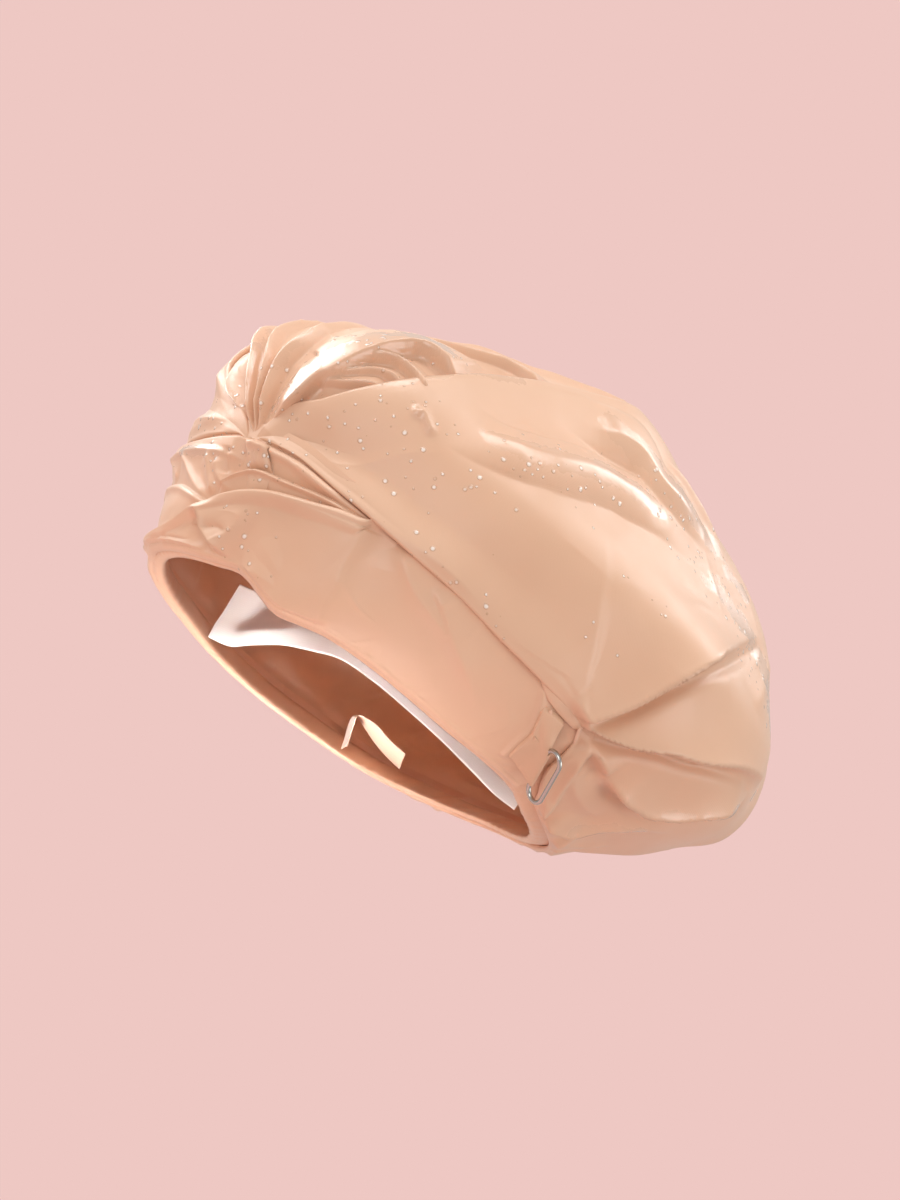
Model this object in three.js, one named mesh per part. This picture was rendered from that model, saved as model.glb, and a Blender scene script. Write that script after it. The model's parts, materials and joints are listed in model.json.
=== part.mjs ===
// A pleated bathing cap in coated nylon: a wide crown bag, a fan of pleats from a knot at the brow,
// two wrapped pleat rolls, a brow band, a lining, an elasticated hem and a metal hanging ring.
// Millimetres. The rim lies in the plane z = 0, the forehead faces -Y, the wearer's left is +X.
import * as THREE from "three";

// Driving sizes of the cap
const RIM_LENGTH = 196;
const RIM_WIDTH = 158;
const CAP_HEIGHT = 154;
const CAP_WIDTH = 204;
const FRONT_REACH = 110;
const BACK_REACH = 168;

// Cloth and the room between two layers of it
const CLOTH = 0.8;
const LAYER_GAP = 1.1;
const SEAT_GAP = 0.35;
const STEP = CLOTH + LAYER_GAP;
const TUCK_LENGTH = 8;

// Hem: a folded casing with an elastic inside
const HEM_INSET = 2.6;
const HEM_WALL = 1;
const HEM_HEIGHT = 8.4;
const ELASTIC_THICKNESS = 1.6;
const ELASTIC_HEIGHT = 5.8;
const HEM_CLEARANCE = 0.5;
const EDGE_ABOVE_FLOOR = 1.2;

// Pleats and folds, measured out from the plain form
const FAN_PLEAT_LIFT = 4.2;
const WRAP_PLEAT_LIFT = 3.4;
const RIDGE_LIFT = 3.6;
const RIDGE_WIDTH = 9;
const GATHER_FOLD_LIFT = 5;
const GATHER_FOLD_WIDTH = 7.5;

// Knot at the brow
const LOOP_WIDTH = 10;
const LOOP_LENGTH = 30;
const LOOP_WALL = 1.2;
const CORE_WIDTH = 13;
const CORE_LENGTH = 20;
const CORE_DEPTH = 3;

// Hanging ring, an oblong loop of wire, and the cloth tab that holds it
const RING_LENGTH = 26;
const RING_WIDTH = 10;
const RING_WIRE = 1.8;
const TAB_WIDTH = 13.5;
const TAB_LENGTH = 17;
const TAB_SKEW_SHARE = 0.78;
const TAB_WALL = 0.8;
const TAB_CLEARANCE = 0.4;

// Brow grip band, a soft white ribbon standing across the opening
const GRIP_HEIGHT = 22;
const GRIP_THICKNESS = 1.2;
const GRIP_BOTTOM = 0.6;

// Small sewn pieces
const LABEL_HEIGHT = 13;
const LABEL_THICKNESS = 0.6;
const LABEL_STANDOFF = 6;
const TAPE_WIDTH = 6;
const TAPE_THICKNESS = 1;
const STRIP_WIDTH = 4.4;
const STRIP_THICKNESS = 1.6;
const TACK_LENGTH = 7;
const TACK_WIDTH = 1.6;
const TACK_DEPTH = 0.9;

// The form's levels, rim to crown: height, reach to the forehead, reach to the nape and half width,
// each as a share of the size that it follows. The rim itself has its own two sizes.
const FORM_LEVEL_SHARES = [
  [0.078, 0.927, 0.685, 0.863],
  [0.195, 0.955, 0.851, 0.951],
  [0.338, 0.982, 0.982, 1],
  [0.506, 1, 1, 0.971],
  [0.669, 0.905, 0.917, 0.765],
  [0.805, 0.69, 0.78, 0.569],
  [0.922, 0.41, 0.615, 0.412],
  [0.984, 0.073, 0.405, 0.226],
  [1, -0.254, 0.167, 0],
];

// Edge lines on the form, as [turn in degrees from the forehead towards the wearer's left, rise share]
const CROWN_LOW_SHARES = [
  [-180, 0.02], [-122, 0.02], [-118, 0.04], [-113, 0.07], [-108, 0.11], [-104, 0.155], [-101, 0.19],
  [-87, 0.225], [-68, 0.258], [-50, 0.275], [-34, 0.285], [-16, 0.3], [-2, 0.31], [10, 0.31],
  [22, 0.31], [34, 0.285], [44, 0.28], [50, 0.272], [63, 0.258], [74, 0.24], [87, 0.22],
  [101, 0.19], [104, 0.155], [108, 0.11], [113, 0.07], [118, 0.04], [122, 0.02], [180, 0.02],
];
const BROW_TOP_SHARES = [
  [-70, 0.257], [-58, 0.22], [-40, 0.13], [-22, 0.1], [-2, 0.13], [10, 0.165], [18, 0.21],
  [30, 0.24], [44, 0.28],
];
// Half width of the fan's leaf outline, as [place along the plan share, half width share]
const LEAF_HALF_SHARES = [
  [-0.69, 0.006], [-0.64, 0.04], [-0.59, 0.08], [-0.54, 0.14], [-0.45, 0.196], [-0.35, 0.231],
  [-0.257, 0.218], [-0.186, 0.187], [-0.05, 0.13], [0.05, 0.07], [0.1, 0],
];
// Ridges and gathered folds on the crown bag, as lines of [turn, rise share]
const CROWN_RIDGE_SHARES = [
  [[53, 0.49], [60, 0.54], [76, 0.59], [88, 0.64], [112, 0.69], [142, 0.72]],
  [[63, 0.8], [84, 0.87], [124, 0.83], [138, 0.77]],
  [[-60, 0.5], [-84, 0.6], [-118, 0.68], [-150, 0.7]],
];
const GATHER_FOLD_SHARES = [
  [[99, 0.23], [101, 0.3], [104, 0.39], [114, 0.49], [140, 0.6]],
  [[102, 0.21], [108, 0.25], [116, 0.3], [124, 0.35], [136, 0.44]],
  [[106, 0.17], [116, 0.2], [126, 0.22], [142, 0.3]],
  [[113, 0.1], [124, 0.13], [138, 0.18], [152, 0.24]],
  [[122, 0.05], [134, 0.08], [150, 0.12]],
];
const KNOT_ANGLE = 10;
const KNOT_RISE_SHARE = 0.25;
const KNOT_PLAN_SHARE = 0.12;
const NEAR_MERGE_ANGLE = 47;
const FAR_MERGE_ANGLE = -68;
const GATHER_ANGLE = 101;
// Where the band ends past the gather, and how far the edges take to change height, in degrees of turn
const BAND_END_ANGLE = GATHER_ANGLE + 13;
const EDGE_CHANGE_ANGLE = 9;
const EDGE_FADE_ANGLE = 6;
const KNOT_SEAM_ANGLE = 1.5;
const HIDDEN_FADE_ANGLE = 8;
const ROLL_SPREAD_ANGLE = 30;

// Plan of the grip band's lower edge, as shares of the rim's half width and half length
const GRIP_PLAN_SHARES = [
  [-0.845, -0.283], [-0.6, -0.285], [-0.24, -0.35], [0.16, -0.44], [0.45, -0.43], [0.66, -0.35],
  [0.74, -0.17], [0.73, 0.08], [0.715, 0.32], [0.757, 0.492],
];

const HALF_WIDTH = CAP_WIDTH / 2;
const RIM_HALF_LENGTH = RIM_LENGTH / 2;
const RIM_HALF_WIDTH = RIM_WIDTH / 2;
const LEVELS = [
  [0, -RIM_HALF_LENGTH, RIM_HALF_LENGTH, RIM_HALF_WIDTH],
  ...FORM_LEVEL_SHARES.map(([height, front, back, width]) => [
    height * CAP_HEIGHT,
    -front * FRONT_REACH,
    back * BACK_REACH,
    width * HALF_WIDTH,
  ]),
];
// About how many millimetres one whole rise measures along the form
const RISE_LENGTH = CAP_HEIGHT * 1.36;
const TUCK_SHARE = TUCK_LENGTH / RISE_LENGTH;

// A smooth step from 0 to 1, and its bell-shaped relative
const smooth = (x) => {
  const t = Math.min(1, Math.max(0, x));
  return t * t * (3 - 2 * t);
};
const bell = (x) => Math.exp(-x * x);
const degrees = (turn) => (turn * Math.PI) / 180;

// A smooth curve through a table of [x, y]
function along(table, x) {
  const last = table.length - 1;
  if (x <= table[0][0]) return table[0][1];
  if (x >= table[last][0]) return table[last][1];
  let k = 0;
  while (table[k + 1][0] < x) k += 1;
  const slope = (i) => {
    const a = table[Math.max(0, i - 1)];
    const b = table[Math.min(last, i + 1)];
    return (b[1] - a[1]) / (b[0] - a[0]);
  };
  const [x0, y0] = table[k];
  const [x1, y1] = table[k + 1];
  const h = x1 - x0;
  const t = (x - x0) / h;
  const rest = 1 - t;
  return (
    y0 * (1 + 2 * t) * rest * rest + h * slope(k) * t * rest * rest +
    y1 * t * t * (3 - 2 * t) - h * slope(k + 1) * t * t * rest
  );
}

// One column of the form's levels at a rise of 0 to 1
function levelValue(column, rise) {
  const last = LEVELS.length - 1;
  const x = Math.min(1, Math.max(0, rise)) * last;
  const i = Math.min(Math.floor(x), last - 1);
  const f = x - i;
  const value = (j) => LEVELS[j][column];
  const p1 = value(i);
  const p2 = value(i + 1);
  const p0 = i > 0 ? value(i - 1) : 2 * p1 - p2;
  const flatTop = column === 0 ? p1 : 2 * p2 - p1;
  const p3 = i + 2 <= last ? value(i + 2) : flatTop;
  return 0.5 * (2 * p1 + (p2 - p0) * f + (2 * p0 - 5 * p1 + 4 * p2 - p3) * f * f +
    (3 * p1 - p0 - 3 * p2 + p3) * f * f * f);
}

// Plan shares: the crown is 0, 0 and the rim is the unit circle, forehead at 0, -1
const planOf = (turn, rise) => {
  const reach = 1 - rise;
  return [reach * Math.sin(degrees(turn)), -reach * Math.cos(degrees(turn))];
};

// A point of the plain form
function formPoint(a, b) {
  const reach = Math.hypot(a, b);
  const rise = 1 - reach;
  const front = levelValue(1, rise);
  const back = levelValue(2, rise);
  const width = levelValue(3, rise);
  const side = reach > 0 ? a / reach : 0;
  const fore = reach > 0 ? b / reach : 0;
  return new THREE.Vector3(
    width * side,
    (front + back) / 2 + ((back - front) / 2) * fore,
    levelValue(0, rise),
  );
}

const PROBE_SHARE = 0.002;
function formNormal(a, b) {
  const dx = formPoint(a + PROBE_SHARE, b).sub(formPoint(a - PROBE_SHARE, b));
  const dy = formPoint(a, b + PROBE_SHARE).sub(formPoint(a, b - PROBE_SHARE));
  return dx.cross(dy).normalize();
}
const liftedPoint = (a, b, lift) => formPoint(a, b).addScaledVector(formNormal(a, b), lift);
const skinPoint = (turn, rise, lift) => liftedPoint(...planOf(turn, rise), lift);

// A closed sheet of cloth: place(u, v) gives its outer face, and the wall is set in from it.
// ring joins the last column to the first; pole closes the top row to one point.
function clothSheet(cols, rows, place, wall, { ring = false, pole = false } = {}) {
  const probe = 1 / (8 * Math.max(cols, rows));
  const points = [];
  const face = (u, v) => {
    const p = place(u, v);
    const du = place(u + probe, v).sub(place(u - probe, v));
    const vLow = Math.max(0, v - probe);
    const vHigh = Math.min(1, v + probe);
    const dv = place(u, vHigh).sub(place(u, vLow));
    const n = du.cross(dv).normalize();
    return [p, p.clone().addScaledVector(n, -wall)];
  };
  const rings = ring ? cols : cols + 1;
  const index = [[], []];
  for (let i = 0; i < rings; i += 1) {
    const columns = [[], []];
    for (let j = 0; j <= rows; j += 1) {
      if (pole && j === rows && i > 0) {
        columns[0].push(index[0][0][rows]);
        columns[1].push(index[1][0][rows]);
        continue;
      }
      const v = pole && j === rows ? 1 - probe : j / rows;
      const pair = face(i / cols, v);
      if (pole && j === rows) {
        const top = formPoint(0, 0);
        pair[0] = top.clone().setZ(top.z - LINING_DROP);
        pair[1] = pair[0].clone().setZ(pair[0].z - wall);
      }
      pair.forEach((p, k) => {
        columns[k].push(points.length / 3);
        points.push(p.x, p.y, p.z);
      });
    }
    index[0].push(columns[0]);
    index[1].push(columns[1]);
  }
  const triangles = [];
  const quad = (p, q, r, s) => {
    if (p !== q) triangles.push(p, q, r);
    if (r !== s) triangles.push(p, r, s);
  };
  const [outer, inner] = index;
  for (let i = 0; i < cols; i += 1) {
    const next = (i + 1) % rings;
    for (let j = 0; j < rows; j += 1) {
      const top = j + 1;
      if (pole && top === rows) {
        triangles.push(outer[i][j], outer[next][j], outer[0][rows]);
        triangles.push(inner[next][j], inner[i][j], inner[0][rows]);
      } else {
        quad(outer[i][j], outer[next][j], outer[next][top], outer[i][top]);
        quad(inner[next][j], inner[i][j], inner[i][top], inner[next][top]);
      }
    }
    quad(inner[i][0], inner[next][0], outer[next][0], outer[i][0]);
    if (!pole) quad(outer[i][rows], outer[next][rows], inner[next][rows], inner[i][rows]);
  }
  if (!ring) {
    for (let j = 0; j < rows; j += 1) {
      quad(inner[0][j], outer[0][j], outer[0][j + 1], inner[0][j + 1]);
      quad(outer[cols][j], inner[cols][j], inner[cols][j + 1], outer[cols][j + 1]);
    }
  }
  return solidFrom(points, triangles);
}

function solidFrom(points, triangles) {
  const geometry = new THREE.BufferGeometry();
  geometry.setAttribute("position", new THREE.Float32BufferAttribute(points, 3));
  geometry.setIndex(triangles);
  geometry.computeVertexNormals();
  return geometry;
}

// A ring swept round the rim from a closed outline of [inset, height], outline anticlockwise as
// seen with the inside of the cap on the right
function rimRing(cols, outline) {
  const points = [];
  const count = outline.length;
  for (let i = 0; i < cols; i += 1) {
    const turn = (i / cols) * 360;
    outline.forEach(([inset, height]) => {
      const p = rimPoint(turn, inset, height);
      points.push(p.x, p.y, p.z);
    });
  }
  const triangles = [];
  for (let i = 0; i < cols; i += 1) {
    const next = (i + 1) % cols;
    for (let j = 0; j < count; j += 1) {
      const k = (j + 1) % count;
      const corners = [i * count + j, i * count + k, next * count + k, next * count + j];
      triangles.push(corners[0], corners[1], corners[2], corners[0], corners[2], corners[3]);
    }
  }
  return solidFrom(points, triangles);
}

function riseOfHeight(height) {
  let low = 0;
  let high = 1;
  for (let i = 0; i < 30; i += 1) {
    const middle = (low + high) / 2;
    if (levelValue(0, middle) < height) low = middle;
    else high = middle;
  }
  return (low + high) / 2;
}

// A point inside the form's wall, at an inset measured level and a height above the rim
function rimPoint(turn, inset, height) {
  const [a, b] = planOf(turn, riseOfHeight(height));
  const p = formPoint(a, b);
  const inward = formNormal(a, b).setZ(0).normalize().multiplyScalar(-inset);
  return p.add(inward).setZ(height);
}

const signedTurn = (turn) => (turn > 180 ? turn - 360 : turn);
const crownLow = (turn) => Math.max(EDGE_RISE, along(CROWN_LOW_SHARES, signedTurn(turn)));
const leafCentre = (b) => KNOT_PLAN_SHARE * Math.max(0, b / LEAF_HALF_SHARES[0][0]);
const leafHalf = (b) => Math.max(0, along(LEAF_HALF_SHARES, b));
const EDGE_RISE = riseOfHeight(EDGE_ABOVE_FLOOR);
const LINING_DROP = STEP + 1.1 * LAYER_GAP;

// How far a plan point lies from a line of [turn, rise], in shares, and how far along it
function lineDistance(line, a, b) {
  const corners = line.map(([turn, rise]) => planOf(turn, rise));
  let best = [Infinity, 0];
  for (let k = 0; k + 1 < corners.length; k += 1) {
    const [x0, y0] = corners[k];
    const [dx, dy] = [corners[k + 1][0] - x0, corners[k + 1][1] - y0];
    const t = Math.min(1, Math.max(0, ((a - x0) * dx + (b - y0) * dy) / (dx * dx + dy * dy)));
    const distance = Math.hypot(a - x0 - t * dx, b - y0 - t * dy);
    if (distance < best[0]) best = [distance, (k + t) / (corners.length - 1)];
  }
  return best;
}

// Soft ridges over the bag and the narrower folds that run out from the gather
function crownFolds(a, b) {
  let lift = 0;
  CROWN_RIDGE_SHARES.forEach((line) => {
    const [distance, share] = lineDistance(line, a, b);
    const fade = smooth(share * 4) * smooth((1 - share) * 3);
    lift += RIDGE_LIFT * fade * bell((distance * RISE_LENGTH) / RIDGE_WIDTH);
  });
  [1, -1].forEach((side) => {
    GATHER_FOLD_SHARES.forEach((line) => {
      const [distance, share] = lineDistance(line, a * side, b);
      const fade = smooth(0.3 + share * 3) * (1 - smooth(share));
      const width = GATHER_FOLD_WIDTH * (0.6 + share);
      lift += GATHER_FOLD_LIFT * fade * bell((distance * RISE_LENGTH) / width);
    });
  });
  return lift;
}

// The crown bag: from the knot round the back of the head to the knot again
const CROWN_START_ANGLE = KNOT_ANGLE + KNOT_SEAM_ANGLE;
const CROWN_END_ANGLE = KNOT_ANGLE + 360 - KNOT_SEAM_ANGLE;
function crownPanel() {
  const backPlan = LEAF_HALF_SHARES[LEAF_HALF_SHARES.length - 1][0];
  const knotPlan = LEAF_HALF_SHARES[0][0];
  const place = (u, v) => {
    const w = Math.min(1, Math.max(0, u));
    const turn = CROWN_START_ANGLE + (CROWN_END_ANGLE - CROWN_START_ANGLE) * w;
    const low = planOf(turn, crownLow(turn));
    const near = w < 0.5;
    const share = near ? 2 * w : 2 - 2 * w;
    const b = knotPlan + (backPlan - knotPlan) * Math.sin((share * Math.PI) / 2) ** 1.2;
    const a = leafCentre(b) + (near ? 1 : -1) * leafHalf(b);
    const across01 = 0.4 * v + 0.6 * (0.5 - 0.5 * Math.cos(Math.PI * v));
    const pa = low[0] + (a - low[0]) * across01;
    const pb = low[1] + (b - low[1]) * across01;
    const span = Math.hypot(a - low[0], b - low[1]) * RISE_LENGTH;
    const fromLow = across01 * span;
    const fromHigh = (1 - across01) * span;
    const merge = near ? NEAR_MERGE_ANGLE : FAR_MERGE_ANGLE;
    const across = signedTurn(turn) - merge;
    const stack = 1 + bell(across / EDGE_CHANGE_ANGLE);
    const overBand = 1 - smooth((Math.abs(signedTurn(turn)) - BAND_END_ANGLE) / EDGE_FADE_ANGLE);
    const lowEdge = overBand * stack * (1 - smooth(fromLow / TUCK_LENGTH - 1.1));
    const highEdge = 1 - smooth(fromHigh / TUCK_LENGTH - 1.1);
    const inField = smooth(fromLow / TUCK_LENGTH) * smooth(fromHigh / TUCK_LENGTH);
    return liftedPoint(pa, pb, STEP * Math.max(lowEdge, highEdge) + crownFolds(pa, pb) * inField);
  };
  return clothSheet(46, 12, place, CLOTH);
}

// One knife pleat: a long rise and a short fall
const PLEAT_RISE_SHARE = 0.7;
const pleat = (x) => {
  const f = x - Math.floor(x);
  if (f < PLEAT_RISE_SHARE) return Math.sin((f / PLEAT_RISE_SHARE) * (Math.PI / 2)) ** 1.4;
  return Math.cos(((f - PLEAT_RISE_SHARE) / (1 - PLEAT_RISE_SHARE)) * (Math.PI / 2));
};

// The fan of pleats that rises from the knot and sinks under the crown bag's edge
const FAN_PLEATS = 7;
function topPleats() {
  const first = LEAF_HALF_SHARES[0][0];
  const last = LEAF_HALF_SHARES[LEAF_HALF_SHARES.length - 1][0] + TUCK_SHARE * 0.6;
  const place = (u, v) => {
    const b = first + (last - first) * v;
    const half = leafHalf(b);
    const tuck = TUCK_SHARE * 0.8 * smooth((b - first) / 0.2 - 0.15);
    const across = (2 * u - 1) * (half + tuck);
    const inField = smooth(((half - Math.abs(across)) * RISE_LENGTH) / (TUCK_LENGTH / 3));
    const swell = 0.25 + 0.75 * smooth(v / 0.25);
    const fade = (1 - smooth((v - 0.45) / 0.5)) * swell;
    const lift = FAN_PLEAT_LIFT * pleat(u * FAN_PLEATS) * inField * fade;
    return liftedPoint(leafCentre(b) + across, b, lift - 0.5 * LAYER_GAP);
  };
  return clothSheet(FAN_PLEATS * 4, 13, place, CLOTH);
}

// Height of the brow band's top edge: its own line in front, tucked under the crown bag at the sides
function browTop(turn) {
  const first = BROW_TOP_SHARES[0][0];
  const last = BROW_TOP_SHARES[BROW_TOP_SHARES.length - 1][0];
  const tucked = crownLow(turn) + TUCK_SHARE;
  if (turn < first || turn > last) {
    const past = turn < first ? first - turn : turn - last;
    return crownLow(turn) + TUCK_SHARE * smooth(past / HIDDEN_FADE_ANGLE);
  }
  return Math.min(tucked, along(BROW_TOP_SHARES, turn));
}

// A wrapped roll of two pleats and a part from the knot to where the bag and the band close over it
const ROLL_PLEATS = 2.6;
function wrapRoll(side) {
  const start = KNOT_ANGLE + side * KNOT_SEAM_ANGLE;
  const end = side > 0 ? NEAR_MERGE_ANGLE : FAR_MERGE_ANGLE;
  const place = (u, v) => {
    const turn = side > 0 ? start + (end - start) * u : end + (start - end) * u;
    const hidden = TUCK_SHARE * 0.7;
    const low = browTop(turn) - hidden;
    const high = crownLow(turn) + hidden * smooth(Math.abs(turn - KNOT_ANGLE) / ROLL_SPREAD_ANGLE - 0.2);
    const rise = low + (high - low) * v;
    const inField = smooth(((rise - low) * RISE_LENGTH) / TUCK_LENGTH - 0.7) *
      smooth(((high - rise) * RISE_LENGTH) / TUCK_LENGTH - 0.7);
    const share = Math.abs((turn - KNOT_ANGLE) / (end - KNOT_ANGLE));
    const swell = (0.3 + 0.7 * smooth(share * 5)) * (1 - smooth(share * 1.1 - 0.1));
    return skinPoint(turn, rise, WRAP_PLEAT_LIFT * pleat(v * ROLL_PLEATS) * inField * swell);
  };
  return clothSheet(14, 11, place, CLOTH);
}

// The band round the brow and the sides, up to the gathers
function browBand() {
  const place = (u, v) => {
    const turn = (2 * u - 1) * BAND_END_ANGLE;
    const nearGather = smooth((Math.abs(turn) - GATHER_ANGLE) / EDGE_CHANGE_ANGLE + 1);
    const top = Math.max(EDGE_RISE * 2, browTop(turn) - TUCK_SHARE * 0.6 * nearGather);
    const rise = EDGE_RISE + (top - EDGE_RISE) * v;
    const fromTop = ((top - rise) * RISE_LENGTH) / (2 * TUCK_LENGTH);
    const past = turn > 0 ? turn - NEAR_MERGE_ANGLE : FAR_MERGE_ANGLE - turn;
    const front = 1 - smooth(past / EDGE_CHANGE_ANGLE);
    const over = STEP * front * (1 - smooth(fromTop - 0.35));
    return skinPoint(turn, rise, over - 0.2 * LAYER_GAP);
  };
  return clothSheet(44, 6, place, CLOTH);
}

// The lining: a plain dome one layer inside the form
function crownLining() {
  const bottom = riseOfHeight(HEM_HEIGHT + SEAT_GAP);
  const place = (u, v) => skinPoint(u * 360, bottom + (1 - bottom) * v, -LINING_DROP);
  return clothSheet(40, 9, place, CLOTH, { ring: true, pole: true });
}

function hemCasing() {
  const outer = HEM_INSET;
  const inner = outer + 2 * HEM_WALL + 2 * HEM_CLEARANCE + ELASTIC_THICKNESS;
  return rimRing(48, [
    [outer, 0], [inner, 0], [inner, HEM_HEIGHT], [inner - HEM_WALL, HEM_HEIGHT],
    [inner - HEM_WALL, HEM_WALL], [outer + HEM_WALL, HEM_WALL], [outer + HEM_WALL, HEM_HEIGHT],
    [outer, HEM_HEIGHT],
  ]);
}

function hemElastic() {
  const outer = HEM_INSET + HEM_WALL + HEM_CLEARANCE;
  const inner = outer + ELASTIC_THICKNESS;
  const low = HEM_WALL + HEM_CLEARANCE;
  const high = low + ELASTIC_HEIGHT;
  return rimRing(48, [[outer, low], [inner, low], [inner, high], [outer, high]]);
}

// A frame on the form: x along the turn, y up the form, z outwards, turned by an angle in its plane
function skinFrame(turn, rise, lift, angle = 0) {
  const [a, b] = planOf(turn, rise);
  const z = formNormal(a, b);
  const x = skinPoint(turn + 1, rise, 0).sub(skinPoint(turn - 1, rise, 0));
  x.addScaledVector(z, -x.dot(z)).normalize();
  const y = z.clone().cross(x);
  const frame = new THREE.Matrix4().makeBasis(x, y, z);
  frame.multiply(new THREE.Matrix4().makeRotationZ(angle));
  return frame.setPosition(liftedPoint(a, b, lift));
}

// A rounded bar of stitches
function tackBar(length, width, depth) {
  const outline = new THREE.Shape();
  const half = length / 2 - width / 2;
  outline.absarc(half, 0, width / 2, -Math.PI / 2, Math.PI / 2);
  outline.absarc(-half, 0, width / 2, Math.PI / 2, (Math.PI * 3) / 2);
  return new THREE.ExtrudeGeometry(outline, { depth, bevelEnabled: false, curveSegments: 4 });
}

// The bunched cloth that the loop closes round
function knotCore() {
  const geometry = new THREE.SphereGeometry(1 / 2, 12, 8);
  return geometry.scale(CORE_WIDTH, CORE_LENGTH, CORE_DEPTH);
}

// A strap arched over the core, its two feet on the cloth above and below
const CORE_SEAT = 0.8 * LAYER_GAP + SEAT_GAP;
const LOOP_SEAT = STEP + 1.6 * SEAT_GAP;
const loopRise = (place01) => KNOT_RISE_SHARE + (place01 * LOOP_LENGTH) / 2 / RISE_LENGTH;
const loopTop = (place01) => {
  const arch = CORE_SEAT + CORE_DEPTH + 3 * SEAT_GAP - LOOP_SEAT;
  return LOOP_SEAT + arch * (1 - Math.abs(place01) ** 3.2) + LOOP_WALL;
};
function knotLoop() {
  const place = (u, v) => {
    const place01 = v * 2 - 1;
    const across = (u - 0.5) * LOOP_WIDTH * (1 + 0.25 * place01 * place01);
    const turn = KNOT_ANGLE + (across / FRONT_REACH) * (180 / Math.PI);
    return skinPoint(turn, loopRise(place01), loopTop(place01));
  };
  return clothSheet(3, 12, place, LOOP_WALL);
}

// An oblong wire loop, its held bar on the x axis and its free side towards +y
function hangingRing() {
  const radius = (RING_WIDTH - RING_WIRE) / 2;
  const half = RING_LENGTH / 2 - RING_WIDTH / 2;
  const path = new THREE.CurvePath();
  const corner = (x, y) => new THREE.Vector3(x, y, 0);
  path.add(new THREE.LineCurve3(corner(-half, 0), corner(half, 0)));
  path.add(new HalfTurn(half, radius, radius, -Math.PI / 2));
  path.add(new THREE.LineCurve3(corner(half, 2 * radius), corner(-half, 2 * radius)));
  path.add(new HalfTurn(-half, radius, radius, Math.PI / 2));
  return wireRing(path, 28, 8);
}

// Half a turn of radius about x, y in the plane z = 0
class HalfTurn extends THREE.Curve {
  constructor(x, y, radius, start) {
    super();
    Object.assign(this, { x, y, radius, start });
  }

  getPoint(t, target = new THREE.Vector3()) {
    const angle = this.start + t * Math.PI;
    return target.set(this.x + this.radius * Math.cos(angle), this.y + this.radius * Math.sin(angle), 0);
  }
}

// A closed round wire along a closed flat path
function wireRing(path, steps, sides) {
  const points = [];
  const triangles = [];
  for (let i = 0; i < steps; i += 1) {
    const t = i / steps;
    const p = path.getPointAt(t);
    const tangent = path.getTangentAt(t);
    const side = new THREE.Vector3(tangent.y, -tangent.x, 0);
    for (let j = 0; j < sides; j += 1) {
      const angle = (j / sides) * 2 * Math.PI;
      const q = p.clone().addScaledVector(side, (Math.cos(angle) * RING_WIRE) / 2);
      points.push(q.x, q.y, (Math.sin(angle) * RING_WIRE) / 2);
    }
  }
  for (let i = 0; i < steps; i += 1) {
    for (let j = 0; j < sides; j += 1) {
      const [n, k] = [(i + 1) % steps, (j + 1) % sides];
      const corners = [i * sides + j, n * sides + j, n * sides + k, i * sides + k];
      triangles.push(corners[0], corners[1], corners[2], corners[0], corners[2], corners[3]);
    }
  }
  return solidFrom(points, triangles);
}

// A straight side of an outline in several short steps, so that it can bend
const TAB_STEPS = 4;
function bendableLine(outline, x, y) {
  const from = outline.currentPoint.clone();
  for (let i = 1; i <= TAB_STEPS; i += 1) {
    const share = i / TAB_STEPS;
    outline.lineTo(from.x + (x - from.x) * share, from.y + (y - from.y) * share);
  }
}

// The tab in the ring's frame: a strip that comes from -y, turns round the bar and goes back
function ringTab() {
  const inner = RING_WIRE / 2 + TAB_CLEARANCE;
  const outer = inner + TAB_WALL;
  const outline = new THREE.Shape();
  const end = -TAB_LENGTH;
  const pinch = TAB_WALL + SEAT_GAP;
  outline.moveTo(end, -outer);
  bendableLine(outline, 0, -outer);
  outline.absarc(0, 0, outer, -Math.PI / 2, Math.PI / 2);
  bendableLine(outline, end, -outer + TAB_WALL + pinch);
  outline.lineTo(end, -outer + pinch);
  bendableLine(outline, 0, inner);
  outline.absarc(0, 0, inner, Math.PI / 2, -Math.PI / 2, true);
  bendableLine(outline, end, -inner);
  const extrude = { depth: TAB_WIDTH, bevelEnabled: false, curveSegments: 8, steps: TAB_STEPS };
  const solid = new THREE.ExtrudeGeometry(outline, extrude);
  solid.translate(0, 0, -TAB_WIDTH / 2);
  const axes = new THREE.Matrix4().makeBasis(
    new THREE.Vector3(0, 1, 0),
    new THREE.Vector3(0, 0, 1),
    new THREE.Vector3(1, 0, 0),
  );
  solid.applyMatrix4(axes);
  return followForm(solid);
}

// The ring's frame on the cap: x down along the bag's edge, y towards the nape, z outwards
const RING_TURN_ANGLE = 106;
const RING_RISE_SHARE = 0.098;
const RING_SPIN_ANGLE = -0.94;
const RING_REST_ANGLE = degrees(62);
const RING_ANCHOR = skinFrame(RING_TURN_ANGLE, RING_RISE_SHARE, 0, RING_SPIN_ANGLE);
const TO_RING_ANCHOR = RING_ANCHOR.clone().invert();

// How high the form stands over the anchor frame's plane, at x, y in that plane
function formHeight(x, y) {
  const local = (a, b) => formPoint(a, b).applyMatrix4(TO_RING_ANCHOR);
  let [a, b] = planOf(RING_TURN_ANGLE, RING_RISE_SHARE);
  for (let i = 0; i < 6; i += 1) {
    const here = local(a, b);
    const da = local(a + PROBE_SHARE, b).sub(here).divideScalar(PROBE_SHARE);
    const db = local(a, b + PROBE_SHARE).sub(here).divideScalar(PROBE_SHARE);
    const [ex, ey] = [x - here.x, y - here.y];
    const turned = da.x * db.y - da.y * db.x;
    a += (ex * db.y - ey * db.x) / turned;
    b += (da.x * ey - da.y * ex) / turned;
  }
  return local(a, b).z;
}

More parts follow.
